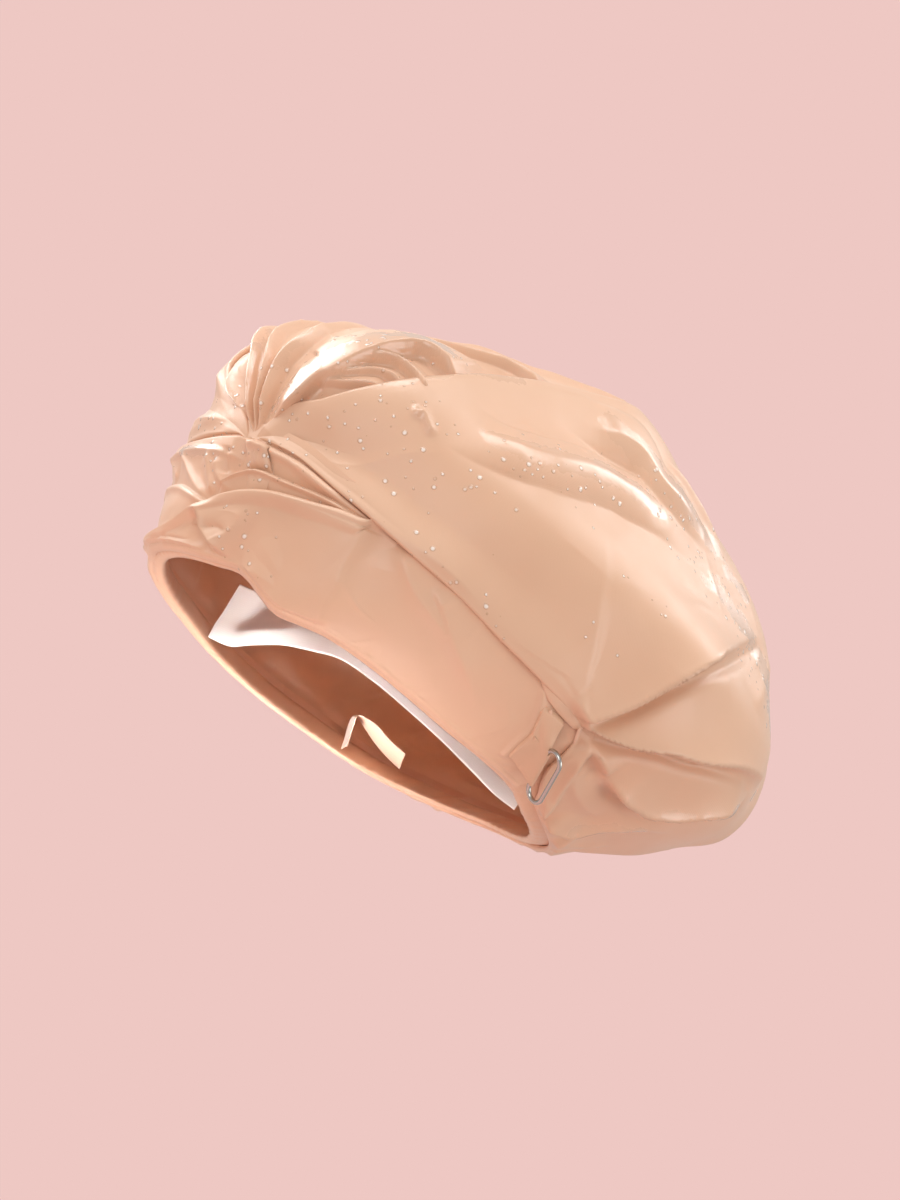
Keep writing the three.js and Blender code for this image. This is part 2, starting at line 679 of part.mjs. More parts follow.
// The ring stands off by its wire and the tab's wall, and by any swell of the form below its ends
const RING_SWELL = Math.max(
  0,
  ...[-1, 1].flatMap((end) => [0, RING_WIDTH].map((y) => formHeight((end * RING_LENGTH) / 2, y))),
);
const RING_LIFT = RING_WIRE / 2 + TAB_CLEARANCE + TAB_WALL + 2.6 * SEAT_GAP + RING_SWELL;
const ringFrame = (tilt = 0) => {
  const frame = RING_ANCHOR.clone().multiply(new THREE.Matrix4().makeTranslation(0, 0, RING_LIFT));
  return frame.multiply(new THREE.Matrix4().makeRotationX(tilt));
};

// How far a place on the tab is moved out to lie along the form, more the further it is from the bar
const settled = (x, y) => smooth((-2 * y) / RING_WIDTH) * (formHeight(x, y) - RING_SWELL);

// Lean the tab up the cap as it runs forward from the bar, and lay it along the form
function followForm(solid) {
  const position = solid.getAttribute("position");
  for (let i = 0; i < position.count; i += 1) {
    const y = position.getY(i);
    const x = position.getX(i) + TAB_SKEW_SHARE * Math.min(0, y);
    position.setX(i, x);
    position.setZ(i, position.getZ(i) + settled(x, y));
  }
  return solid;
}

// The white grip band: a ribbon on edge along its plan line
function gripBand() {
  const path = new THREE.CatmullRomCurve3(
    GRIP_PLAN_SHARES.map(([x, y]) => new THREE.Vector3(x * RIM_HALF_WIDTH, y * RIM_HALF_LENGTH, 0)),
  );
  const place = (u, v) => {
    const p = path.getPointAt(Math.min(1, Math.max(0, u)));
    return p.setZ(GRIP_BOTTOM + v * GRIP_HEIGHT);
  };
  return clothSheet(28, 2, place, GRIP_THICKNESS);
}

// The blank label: a short ribbon sewn at both ends and bowed off the lining between them
const LABEL_ANGLES = [-134, -114];
function careLabel() {
  const place = (u, v) => {
    const turn = LABEL_ANGLES[0] + (LABEL_ANGLES[1] - LABEL_ANGLES[0]) * u;
    const low = riseOfHeight(HEM_HEIGHT + SEAT_GAP);
    const rise = low + (v * LABEL_HEIGHT) / RISE_LENGTH;
    const bow = LABEL_STANDOFF * Math.sin(Math.PI * Math.min(1, Math.max(0, u))) ** 2;
    return skinPoint(turn, rise, -LINING_DROP - CLOTH - 2.6 * SEAT_GAP - bow);
  };
  return clothSheet(10, 2, place, LABEL_THICKNESS);
}

// A short tape sewn inside the lining along each gather
function gatherTape(side) {
  const place = (u, v) => {
    const share = side > 0 ? u : 1 - u;
    const turn = side * (GATHER_ANGLE - 4 + 12 * share);
    const rise = 0.25 - 0.12 * share + (v * TAPE_WIDTH) / RISE_LENGTH;
    return skinPoint(turn, rise, -LINING_DROP - CLOTH - 3 * SEAT_GAP);
  };
  return clothSheet(8, 2, place, TAPE_THICKNESS);
}

// The narrow folded strip that finishes the band's end under the bag's edge
function bandEndStrip() {
  const place = (u, v) => {
    const turn = GATHER_ANGLE - 15 + 11 * u;
    const rise = crownLow(turn) - (STRIP_WIDTH * (1.4 - v)) / RISE_LENGTH;
    return skinPoint(turn, rise, STRIP_THICKNESS + 1.2 * SEAT_GAP);
  };
  return clothSheet(6, 3, place, STRIP_THICKNESS);
}

// Colours and finishes
const satin = (color) => new THREE.MeshStandardMaterial({ color, roughness: 0.42, metalness: 0 });
const matte = (color) => new THREE.MeshStandardMaterial({ color, roughness: 0.8, metalness: 0 });
const NUDE = 0xe4b79a;
const LINING = 0xc99576;
const WHITE = 0xede7e2;

const cap = new THREE.Group();
function sew(name, geometry, material, frame) {
  const mesh = new THREE.Mesh(geometry, material);
  mesh.name = name;
  if (frame) {
    mesh.applyMatrix4(frame);
  }
  cap.add(mesh);
  return mesh;
}

sew("crown_panel", crownPanel(), satin(NUDE));
sew("top_pleats", topPleats(), satin(NUDE));
sew("wrap_roll_left", wrapRoll(1), satin(NUDE));
sew("wrap_roll_right", wrapRoll(-1), satin(NUDE));
sew("brow_band", browBand(), satin(NUDE));
sew("crown_lining", crownLining(), satin(LINING));
sew("hem_casing", hemCasing(), satin(NUDE));
sew("hem_elastic", hemElastic(), matte(WHITE));
sew("brow_grip_band", gripBand(), matte(WHITE));
sew("knot_core", knotCore(), satin(NUDE), skinFrame(KNOT_ANGLE, KNOT_RISE_SHARE, CORE_SEAT + CORE_DEPTH / 2));
sew("knot_loop", knotLoop(), satin(NUDE));
sew("ring_tab", ringTab(), satin(NUDE), ringFrame());
sew("hanging_ring", hangingRing(), new THREE.MeshStandardMaterial({
  color: 0xc3b8b0,
  roughness: 0.25,
  metalness: 1,
}), ringFrame(RING_REST_ANGLE));
sew("band_end_strip", bandEndStrip(), satin(NUDE));
sew("care_label", careLabel(), satin(LINING));
sew("gather_tape_left", gatherTape(1), matte(WHITE));
sew("gather_tape_right", gatherTape(-1), matte(WHITE));

// Bar tacks: over each gather, on the loop's two feet and across the tab's sewn end
const tack = () => tackBar(TACK_LENGTH, TACK_WIDTH, TACK_DEPTH);
const GATHER_TACK_LIFT = STEP * 1.1 + 1.5 * SEAT_GAP;
[["left", 1], ["right", -1]].forEach(([side, sign]) => {
  const frame = skinFrame(sign * (GATHER_ANGLE - 1), 0.2, GATHER_TACK_LIFT, sign * RING_SPIN_ANGLE);
  sew("gather_tack_" + side, tack(), satin(NUDE), frame);
});
[["lower", -1], ["upper", 1]].forEach(([end, sign]) => {
  const place01 = sign * (1 - (2 * TACK_WIDTH) / LOOP_LENGTH);
  const lift = loopTop(place01) + 2 * SEAT_GAP;
  sew("loop_tack_" + end, tack(), satin(NUDE), skinFrame(KNOT_ANGLE, loopRise(place01), lift));
});
const TAB_TACK_PLACE = 1.5 * TACK_WIDTH - TAB_LENGTH;
function tabTackFrame() {
  const [x, y] = [TAB_SKEW_SHARE * TAB_TACK_PLACE, TAB_TACK_PLACE];
  const run = 2 * SEAT_GAP;
  const side = new THREE.Vector3(run, 0, settled(x + run / 2, y) - settled(x - run / 2, y)).normalize();
  const up = new THREE.Vector3(0, run, settled(x, y + run / 2) - settled(x, y - run / 2));
  const out = side.clone().cross(up).normalize();
  const basis = new THREE.Matrix4().makeBasis(side, out.clone().cross(side), out);
  return ringFrame().multiply(basis.setPosition(x, y, settled(x, y) + 2 * SEAT_GAP));
}
sew("tab_tack", tack(), satin(NUDE), tabTackFrame());

export default cap;
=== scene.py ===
# %% [markdown]
# # A pleated bathing cap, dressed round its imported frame
# The cap is a bag of coated nylon gathered to a brow band, with a fan of pleats, two wrapped
# rolls, a lining, an elasticated hem and a metal hanging ring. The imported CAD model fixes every
# size and place. Here each plain cloth solid gets a finely folded sheet in the same place.

import json
import math

import bpy
import numpy as np
from mathutils import Matrix, Vector


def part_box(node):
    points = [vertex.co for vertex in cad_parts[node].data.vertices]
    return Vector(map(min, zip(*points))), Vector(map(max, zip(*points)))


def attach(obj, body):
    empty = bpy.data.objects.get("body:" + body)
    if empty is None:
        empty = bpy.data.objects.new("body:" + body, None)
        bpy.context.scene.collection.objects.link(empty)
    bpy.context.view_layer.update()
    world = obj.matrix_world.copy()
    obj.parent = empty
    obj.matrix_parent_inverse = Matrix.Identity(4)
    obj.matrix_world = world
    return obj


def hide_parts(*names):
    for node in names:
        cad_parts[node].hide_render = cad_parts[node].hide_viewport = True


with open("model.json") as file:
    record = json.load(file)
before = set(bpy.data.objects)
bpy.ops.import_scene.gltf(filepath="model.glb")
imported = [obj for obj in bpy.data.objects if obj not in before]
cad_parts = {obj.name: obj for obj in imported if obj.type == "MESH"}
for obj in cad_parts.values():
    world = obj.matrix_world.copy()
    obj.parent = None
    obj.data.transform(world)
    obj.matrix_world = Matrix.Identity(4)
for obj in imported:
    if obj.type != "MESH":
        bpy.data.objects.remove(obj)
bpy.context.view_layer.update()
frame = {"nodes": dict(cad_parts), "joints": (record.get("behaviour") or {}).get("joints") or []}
scene = bpy.context.scene
scene.view_settings.view_transform = "Standard"

# %% [markdown]
# ## Sizes
# Everything is in metres, so a size is a number times one millimetre. The driving sizes are the
# CAD part's own: the rim, the height and how far the bag reaches to each side.

# %% Driving sizes
MM = 0.001
RIM_LENGTH = 196 * MM
RIM_WIDTH = 158 * MM
CAP_HEIGHT = 154 * MM
CAP_WIDTH = 204 * MM
FRONT_REACH = 110 * MM
BACK_REACH = 168 * MM
RISE_LENGTH = 1.36 * CAP_HEIGHT
CLOTH = 0.5 * MM

# %% [markdown]
# ## The plain form
# The cap's surface is an egg-shaped dome over an oval rim. A table of levels gives its height
# and how far it reaches to the forehead, to the nape and to each side, and a smooth curve runs
# through each column. A place on the form is a turn, in degrees from the forehead towards the
# wearer's left, and a rise from 0 at the rim to 1 at the crown.

# %% The form's levels
FORM_LEVEL_SHARES = [
    (0.078, 0.927, 0.685, 0.863),
    (0.195, 0.955, 0.851, 0.951),
    (0.338, 0.982, 0.982, 1),
    (0.506, 1, 1, 0.971),
    (0.669, 0.905, 0.917, 0.765),
    (0.805, 0.69, 0.78, 0.569),
    (0.922, 0.41, 0.615, 0.412),
    (0.984, 0.073, 0.405, 0.226),
    (1, -0.254, 0.167, 0),
]
LEVELS = np.array(
    [(0, -RIM_LENGTH / 2, RIM_LENGTH / 2, RIM_WIDTH / 2)]
    + [
        (h * CAP_HEIGHT, -f * FRONT_REACH, b * BACK_REACH, w * CAP_WIDTH / 2)
        for h, f, b, w in FORM_LEVEL_SHARES
    ]
)


def level_value(column, rise):
    """One column of the levels at a rise of 0 to 1, on a smooth curve."""
    value = LEVELS[:, column]
    last = len(value) - 1
    x = np.clip(rise, 0, 1) * last
    i = np.minimum(x.astype(int), last - 1)
    f = x - i
    p1, p2 = value[i], value[i + 1]
    p0 = np.where(i > 0, value[np.maximum(i - 1, 0)], 2 * p1 - p2)
    past_top = p1 if column == 0 else 2 * p2 - p1
    p3 = np.where(i + 2 <= last, value[np.minimum(i + 2, last)], past_top)
    return 0.5 * (
        2 * p1
        + (p2 - p0) * f
        + (2 * p0 - 5 * p1 + 4 * p2 - p3) * f**2
        + (3 * p1 - p0 - 3 * p2 + p3) * f**3
    )


# %% Points and normals of the form
def plan_of(turn, rise):
    """Plan shares of a place: the crown is 0, 0 and the rim is the unit circle."""
    reach = 1 - rise
    return reach * np.sin(np.radians(turn)), -reach * np.cos(np.radians(turn))


def form_point(a, b):
    """Points of the plain form at plan shares a, b."""
    reach = np.hypot(a, b)
    rise = 1 - reach
    front, back, width = (level_value(column, rise) for column in (1, 2, 3))
    safe = np.maximum(reach, 1e-9)
    middle = (front + back) / 2 + (back - front) / 2 * b / safe
    return np.stack([width * a / safe, middle, level_value(0, rise)], -1)


PROBE_SHARE = 0.002


def unit(v):
    return v / np.maximum(np.linalg.norm(v, axis=-1, keepdims=True), 1e-12)


def form_normal(a, b):
    dx = form_point(a + PROBE_SHARE, b) - form_point(a - PROBE_SHARE, b)
    dy = form_point(a, b + PROBE_SHARE) - form_point(a, b - PROBE_SHARE)
    return unit(np.cross(dx, dy))


def rise_of_height(height):
    """The rise at which the form has a height, found by halving."""
    low, high = 0.0, 1.0
    for _ in range(30):
        middle = (low + high) / 2
        if level_value(0, np.array(middle)) < height:
            low = middle
        else:
            high = middle
    return (low + high) / 2


EDGE_RISE = rise_of_height(1.2 * MM)
print("form height", round(float(level_value(0, np.array(1.0))), 4))

# %% [markdown]
# ## Curves and steps
# Lines on the cap are tables of a few measured places. A smooth curve through each table gives
# the rest, so that one number can be changed without touching its neighbours.

# %% Helpers for curves
def smooth(x):
    t = np.clip(x, 0, 1)
    return t * t * (3 - 2 * t)


def bell(x):
    return np.exp(-np.square(x))


def along(table, x):
    """A smooth curve through a table of (x, y)."""
    xs, ys = (np.array(column, float) for column in zip(*table))
    slopes = np.empty_like(ys)
    slopes[1:-1] = (ys[2:] - ys[:-2]) / (xs[2:] - xs[:-2])
    slopes[0] = (ys[1] - ys[0]) / (xs[1] - xs[0])
    slopes[-1] = (ys[-1] - ys[-2]) / (xs[-1] - xs[-2])
    x = np.clip(x, xs[0], xs[-1])
    k = np.clip(np.searchsorted(xs, x, side="right") - 1, 0, len(xs) - 2)
    h = xs[k + 1] - xs[k]
    t = (x - xs[k]) / h
    r = 1 - t
    return (
        ys[k] * (1 + 2 * t) * r * r
        + h * slopes[k] * t * r * r
        + ys[k + 1] * t * t * (3 - 2 * t)
        - h * slopes[k + 1] * t * t * r
    )


def along_path(places, share):
    """Each column of a table of places at a share of the way from the first to the last."""
    knots = np.arange(len(places))
    where = share * (len(knots) - 1)
    return [along(list(zip(knots, column)), where) for column in zip(*places)]


def signed_turn(turn):
    return (np.asarray(turn) + 180) % 360 - 180


# %% [markdown]
# ## How the soft bag hangs
# The cap is limp, so its layers share a few broad swells and hollows that the plain form does
# not have, and its hem hangs a little lower on the far side. Every layer takes the same drape,
# so that none comes through another.

# %% The shared drape
# Swells and hollows of the whole bag: turn, rise, radius in mm, height in mm
SWELLS = [
    (-13, 0.47, 19, 4.4),
    (-18, 0.3, 12, 1.0),
    (3, 0.715, 24, -5.6),
    (24, 0.8, 19, -4.6),
    (72, 0.865, 19, 5.2),
    (145, 0.66, 24, 4.4),
    (150, 0.42, 20, -3.0),
    (164, 0.24, 16, -3.6),
    (-24, 0.05, 12, -2.0),
    (-120, 0.55, 45, 3.0),
]
# How far the hem hangs below the rim's plane, in mm
HEM_DROP = [
    (-180, -1.0), (-166, -1.4), (-152, 0.4), (-137, 3.2), (-122, 6.0), (-107, 6.8), (-92, 7.6),
    (-73, 6.8), (-60, 5.0), (-45, 4.0), (-25, 2.0), (0, 0.3), (18, -1.2), (26, -2.6), (31, -1.2),
    (36, 1.6), (42, 3.8), (48, 2.4), (55, 0.6), (66, 0.0), (90, 0.6), (104, -0.6), (118, -1.0),
    (130, 1.4), (150, 1.2), (165, 0.4), (180, -1.0),
]
# The rise at which nothing of that drop is left
HEM_DROP_RISE = 0.26


def hem_drop(turn):
    return along(HEM_DROP, signed_turn(turn)) * MM


def lifted(a, b, lift):
    """Points of the draped form, lifted along its normal."""
    base = form_point(a, b)
    swell = np.zeros(len(base))
    for turn, rise, radius, height in SWELLS:
        middle = form_point(*plan_of(np.array([turn]), np.array([rise])))[0]
        swell += height * MM * bell(np.linalg.norm(base - middle, axis=1) / (radius * MM))
    point = base + form_normal(a, b) * (np.asarray(lift) + swell)[:, None]
    rise = 1 - np.hypot(a, b)
    fade = 1 - smooth(rise / HEM_DROP_RISE)
    point[:, 2] -= hem_drop(np.degrees(np.arctan2(a, -b))) * fade
    return point


# %% [markdown]
# ## Folds
# A fold in cloth is a crest with its own slope on each side: long and rounded where the cloth
# lies over, short where it drops. Each fold is a line of places on the form. The distance of a
# vertex from that line, and its side, give the height of the cloth there.

# %% Fold lines
def smooth_line(places, steps=30):
    """Points on the form along a line of (turn, rise) places, and the normals there."""
    a, b = plan_of(*np.array(places, float).T)
    knots = np.arange(len(a))
    where = np.linspace(0, len(a) - 1, steps)
    pa = along(list(zip(knots, a)), where)
    pb = along(list(zip(knots, b)), where)
    return form_point(pa, pb), form_normal(pa, pb)


def side_distance(points, line):
    """Distance of each point from a line, positive on its left, and how far along it."""
    curve, normals = line
    best = np.full(len(points), np.inf)
    side = np.zeros(len(points))
    share = np.zeros(len(points))
    for k in range(len(curve) - 1):
        start, run = curve[k], curve[k + 1] - curve[k]
        offset = points - start
        t = np.clip(offset @ run / (run @ run), 0, 1)
        gap = offset - t[:, None] * run
        distance = np.linalg.norm(gap, axis=1)
        nearer = distance < best
        left = np.cross(normals[k], run)
        best = np.where(nearer, distance, best)
        side = np.where(nearer, np.sign(gap @ left), side)
        share = np.where(nearer, (k + t) / (len(curve) - 1), share)
    return best * side, share


# How rounded the sharpest crest is, how wide a pinched edge is, and where the hollow beside a
# fold lies and how wide it is
SHARP = 0.6 * MM
PINCH_WIDTH = 1.1 * MM
HOLLOW_PLACE = 4.6 * MM
HOLLOW_WIDTH = 2.8 * MM
# A fold is worked out as far as this many of its slopes from its line
FOLD_REACH = 5


def fold(line, high, left, right, start=0.2, end=0.3, puff=0.0, narrow=1.0, foot=0.0, pinch=0.0,
         hollow=0.0):
    """A fold: its line, its height in mm, its slopes in mm to the left and right of the line,
    the shares over which it rises and dies away, how rounded it is, how narrow it is at its
    start, the share of its height that it has there already, the height in mm of a thin
    pinched edge along its crest, and the depth in mm of the hollow on its right side."""
    return dict(
        line=smooth_line(line), high=high * MM, left=left * MM, right=right * MM,
        start=start, end=end, puff=puff, narrow=narrow, foot=foot, pinch=pinch * MM,
        hollow=hollow * MM,
    )


def fold_lift(points, shape):
    """The height of one fold at some points, and the depth of its hollow."""
    curve = shape["line"][0]
    margin = FOLD_REACH * max(shape["left"], shape["right"])
    inside = np.all((points > curve.min(0) - margin) & (points < curve.max(0) + margin), axis=1)
    lift, hollow = np.zeros(len(points)), np.zeros(len(points))
    if not inside.any():
        return lift, hollow
    distance, share = side_distance(points[inside], shape["line"])
    width = np.where(distance > 0, shape["left"], shape["right"])
    width = width * (shape["narrow"] + (1 - shape["narrow"]) * smooth(share * 1.6))
    away = np.abs(distance)
    tent = np.exp(-(np.sqrt(away**2 + SHARP**2) - SHARP) / width)
    round_over = np.clip(1 - (away / (1.7 * width)) ** 2, 0, 1) ** 0.8
    profile = tent + (round_over - tent) * shape["puff"]
    rises = shape["foot"] + (1 - shape["foot"]) * smooth(share / max(shape["start"], 1e-6))
    dies = smooth((1 - share) / max(shape["end"], 1e-6))
    pinched = shape["pinch"] * bell(away / PINCH_WIDTH)
    lift[inside] = (shape["high"] * profile + pinched) * rises * dies
    hollow[inside] = shape["hollow"] * bell((distance + HOLLOW_PLACE) / HOLLOW_WIDTH) * rises * dies
    return lift, hollow


def fold_field(points, shapes):
    """The highest of some raised folds at each point, and all creases below them."""
    raised = np.zeros(len(points))
    sunk = np.zeros(len(points))
    for shape in shapes:
        lift, hollow = fold_lift(points, shape)
        if shape["high"] > 0:
            raised = np.maximum(raised, lift)
        else:
            sunk += lift
        sunk -= hollow
    return raised + sunk


# %% Crumple of the cloth
def ripples(points, size, seed, count=9):
    """Soft random waves of about one size, between -1 and 1, the same at every run."""
    random = np.random.default_rng(seed)
    total = np.zeros(len(points))
    for _ in range(count):
        run = unit(random.normal(size=3)) * 2 * math.pi / (size * random.uniform(0.7, 1.4))
        total += np.sin(points @ run + random.uniform(0, 2 * math.pi))
    return total / math.sqrt(count) * 0.8


def crumple(points, size, seed, thin=0.22):
    """A sparse net of soft creases, from 0 to 1, as limp nylon has after handling."""
    net = np.exp(-np.abs(ripples(points, size, seed)) / thin)
    patches = smooth(ripples(points, size * 1.3, seed + 1) * 1.2 + 0.3)
    return net * patches


# %% [markdown]
# ## Camera, room and light
# The photograph looks up into the cap from its left and from below, with the cap tilted in the
# picture. The camera stands 1.1 m from a point in the cap. The room is the photograph's plain
# pink, with a pale pink floor well below. The light is an even room, a long soft strip above and
# small soft lamps to the left, behind, to the right and in front, which give the white gleams on
# the folds. A narrow lamp shines into the opening from below, so that the lining shows.

# %% Camera
def direction(azimuth, elevation):
    a, e = math.radians(azimuth), math.radians(elevation)
    return Vector((math.sin(a) * math.cos(e), -math.cos(a) * math.cos(e), math.sin(e)))


VIEW_AZIMUTH, VIEW_ELEVATION, VIEW_ROLL = 62.0, -13.5, 35.1
VIEW_DISTANCE = 1.1
VIEW_TARGET = Vector((0.0156, 0.0026, 0.0525))
PIXELS_PER_MM = 2.588
PICTURE_HEIGHT = 1200

back = direction(VIEW_AZIMUTH, VIEW_ELEVATION)
level = Vector((math.cos(math.radians(VIEW_AZIMUTH)), math.sin(math.radians(VIEW_AZIMUTH)), 0))
upright = back.cross(level)
roll = math.radians(VIEW_ROLL)
picture_x = level * math.cos(roll) + upright * math.sin(roll)
picture_y = upright * math.cos(roll) - level * math.sin(roll)
camera_data = bpy.data.cameras.new("camera")
camera_data.sensor_fit = "AUTO"
camera_data.sensor_width = 36
camera_data.lens = 36 * PIXELS_PER_MM * VIEW_DISTANCE / MM / PICTURE_HEIGHT
camera = bpy.data.objects.new("camera", camera_data)
scene.collection.objects.link(camera)
camera.matrix_world = Matrix.Translation(VIEW_TARGET + back * VIEW_DISTANCE) @ Matrix(
    [[picture_x[i], picture_y[i], back[i]] for i in range(3)]
).to_4x4()
scene.camera = camera
print("camera at", [round(x, 3) for x in camera.matrix_world.translation])

# %% Colours and nodes
def colour(hex_code):
    """An sRGB hex colour as linear red, green, blue and alpha."""
    parts = [int(hex_code[i : i + 2], 16) / 255 for i in (1, 3, 5)]
    linear = [c / 12.92 if c <= 0.04045 else ((c + 0.055) / 1.055) ** 2.4 for c in parts]
    return (*linear, 1)


def add_node(tree, kind, inputs=(), **settings):
    """Adds a node, sets its properties, and sets or links its inputs."""
    made = tree.nodes.new(kind)
    for name, value in settings.items():
        setattr(made, name, value)
    for name, value in dict(inputs).items():
        if isinstance(value, bpy.types.NodeSocket):
            tree.links.new(value, made.inputs[name])
        else:
            made.inputs[name].default_value = value
    return made


def new_material(name):
    material = bpy.data.materials.new(name)
    material.use_nodes = True
    material.node_tree.nodes.clear()
    return material, material.node_tree


# %% World
ROOM_PINK = "#eec8c3"
ROOM_LIGHT = "#fffaf6"
ROOM_LIGHT_STRENGTH = 0.57
world = bpy.data.worlds.new("room")
scene.world = world
world.use_nodes = True
room = world.node_tree
room.nodes.clear()
path = add_node(room, "ShaderNodeLightPath")
seen = add_node(
    room,
    "ShaderNodeMath",
    {0: path.outputs["Is Camera Ray"], 1: path.outputs["Is Transmission Ray"]},
    operation="MAXIMUM",
)
lit = add_node(
    room,
    "ShaderNodeBackground",
    {"Color": colour(ROOM_LIGHT), "Strength": ROOM_LIGHT_STRENGTH},
)
shown = add_node(room, "ShaderNodeBackground", {"Color": colour(ROOM_PINK), "Strength": 1})
either = add_node(
    room,
    "ShaderNodeMixShader",
    {0: seen.outputs[0], 1: lit.outputs[0], 2: shown.outputs[0]},
)
add_node(room, "ShaderNodeOutputWorld", {"Surface": either.outputs[0]})

# %% Floor
FLOOR_DROP = 600 * MM
FLOOR_RADIUS = 1500 * MM
bpy.ops.object.select_all(action="DESELECT")
bpy.ops.mesh.primitive_circle_add(
    vertices=96, radius=FLOOR_RADIUS, fill_type="NGON", location=(0, 0, -FLOOR_DROP)
)
floor = bpy.context.object
floor.name = "floor"
bpy.ops.object.transform_apply(location=True)
floor_material, tree = new_material("painted_floor")
place = add_node(tree, "ShaderNodeTexCoord")
radius = add_node(
    tree, "ShaderNodeVectorMath", {0: place.outputs["Object"]}, operation="LENGTH"
)
fade = add_node(
    tree,
    "ShaderNodeMapRange",
    {
        "Value": radius.outputs["Value"],
        "From Min": 0.4 * FLOOR_RADIUS,
        "From Max": FLOOR_RADIUS,
    },
    interpolation_type="SMOOTHSTEP",
)
paint = add_node(tree, "ShaderNodeBsdfDiffuse", {"Color": colour(ROOM_PINK), "Roughness": 0.6})
clear = add_node(tree, "ShaderNodeBsdfTransparent")
surface = add_node(
    tree,
    "ShaderNodeMixShader",
    {0: fade.outputs[0], 1: paint.outputs[0], 2: clear.outputs[0]},
)
add_node(tree, "ShaderNodeOutputMaterial", {"Surface": surface.outputs[0]})
floor.data.materials.append(floor_material)

# %% Lamps
def softbox(name, towards, distance, size, power, aim=VIEW_TARGET, beam=180):
    """A rectangular lamp, its long side along the picture's width, aimed at the cap; beam is
    how widely it shines, in degrees."""
    lamp = bpy.data.lights.new(name, "AREA")
    lamp.shape = "RECTANGLE"
    lamp.size, lamp.size_y = size
    lamp.energy = power
    lamp.spread = math.radians(beam)
    holder = bpy.data.objects.new(name, lamp)
    scene.collection.objects.link(holder)
    z = towards.normalized()
    x = (picture_x - z * picture_x.dot(z)).normalized()
    y = z.cross(x)
    turned = Matrix([[x[i], y[i], z[i]] for i in range(3)]).to_4x4()
    holder.matrix_world = Matrix.Translation(aim + z * distance) @ turned
    return holder


OPENING = Vector((-0.022, 0, 0))
softbox("strip_lamp", picture_y * 0.95 + picture_x * 0.15 - back * 0.02, 1.2, (2.2, 0.26), 11.5)
softbox("left_rim_lamp", picture_y * 0.62 - picture_x * 0.45 - back * 0.6, 1.2, (0.7, 0.3), 6)
softbox("left_lamp", picture_y * 0.72 - picture_x * 0.6 - back * 0.2, 1.2, (0.5, 0.5), 3)
softbox("right_rim_lamp", picture_y * 0.4 + picture_x * 0.75 - back * 0.5, 1.2, (0.3, 0.7), 3)
softbox("side_lamp", picture_x * 0.8 - picture_y * 0.25 + back * 0.2, 1.0, (0.6, 0.6), 2.8)
softbox("front_lamp", back * 0.9 + upright * 0.2 - level * 0.3, 0.8, (0.6, 0.35), 1.65)
softbox("inside_lamp", direction(VIEW_AZIMUTH, -60), 0.5, (0.1, 0.1), 0.14, OPENING, 16)

# %% [markdown]
# ## Finishes
# The cap is woven nylon with a thin clear waterproof coating: matte-satin threads under a soft
# gloss, in a nude beige. It has just been used, so parts of it are wet and beads of water stand
# on it. The weave follows each sheet's own flat coordinates, as real cloth does.

# %% Cloth finish
# A wave texture of scale 1 repeats every 0.314 m
WAVE_REPEAT = 0.314
# Noise scales are features per metre: soft clouds of about 60 mm, patches of gloss of 14 mm,
# the edges of wet patches of 8 mm and a fine crumple of 5 mm
CLOUD_SCALE, GLOSS_SCALE, WET_EDGE_SCALE, CRUMPLE_SCALE = 16, 70, 130, 190


def threads_of(tree, pitch):
    """Two crossing sets of threads of some pitch, in the sheet's own flat coordinates."""
    flat = add_node(tree, "ShaderNodeTexCoord").outputs["UV"]
    waves = [
        add_node(
            tree,
            "ShaderNodeTexWave",
            {"Vector": flat, "Scale": WAVE_REPEAT / pitch, "Distortion": 0.6, "Detail": 1},
            bands_direction=axis,
        ).outputs["Fac"]
        for axis in ("X", "Y")
    ]
    return add_node(
        tree, "ShaderNodeMath", {0: waves[0], 1: waves[1]}, operation="MULTIPLY"
    ).outputs[0]


def map_range(tree, value, low, high, to_low, to_high):
    return add_node(
        tree,
        "ShaderNodeMapRange",
        {"Value": value, "From Min": low, "From Max": high, "To Min": to_low, "To Max": to_high},
    ).outputs[0]


def noise(tree, place, scale, detail=3, roughness=0.55):
    return add_node(
        tree,
        "ShaderNodeTexNoise",
        {"Vector": place, "Scale": scale, "Detail": detail, "Roughness": roughness},
    ).outputs["Fac"]


def maths(tree, operation, *values):
    return add_node(
        tree, "ShaderNodeMath", dict(enumerate(values)), operation=operation
    ).outputs[0]


def mix_colour(tree, share, first, second):
    return add_node(
        tree, "ShaderNodeMix", {0: share, 6: first, 7: second}, data_type="RGBA"
    ).outputs[2]


def bump_of(tree, height, strength, depth, **below):
    """A bump from a height; below is a Normal that it lies over."""
    inputs = {"Height": height, "Strength": strength, "Distance": depth, **below}
    return add_node(tree, "ShaderNodeBump", inputs).outputs[0]


def painted(tree, name):
    """A value that is painted on the piece's own vertices; 0 where a piece has none."""
    return add_node(tree, "ShaderNodeAttribute", attribute_name=name).outputs["Fac"]


def water_beads(tree, place):
    """Small beads of water: some cells of a cell pattern hold a round drop. Gives its dome,
    from 0 to 1. Cells are 5 and 3 mm wide; the drops in them up to 2.3 and 1.5 mm."""
    domes = []
    amount = painted(tree, "beads")
    for scale, share, size in ((200, 0.75, 0.23), (330, 0.5, 0.24)):
        cells = add_node(
            tree, "ShaderNodeTexVoronoi", {"Vector": place, "Scale": scale}, feature="F1"
        )
        chance = add_node(tree, "ShaderNodeSeparateColor", {0: cells.outputs["Color"]})
        held = maths(tree, "LESS_THAN", chance.outputs[0], maths(tree, "MULTIPLY", amount, share))
        drop = map_range(tree, cells.outputs["Distance"], 0.0, size, 1, 0)
        domes.append(maths(tree, "MULTIPLY", maths(tree, "POWER", drop, 0.5), held))
    return maths(tree, "MAXIMUM", *domes)


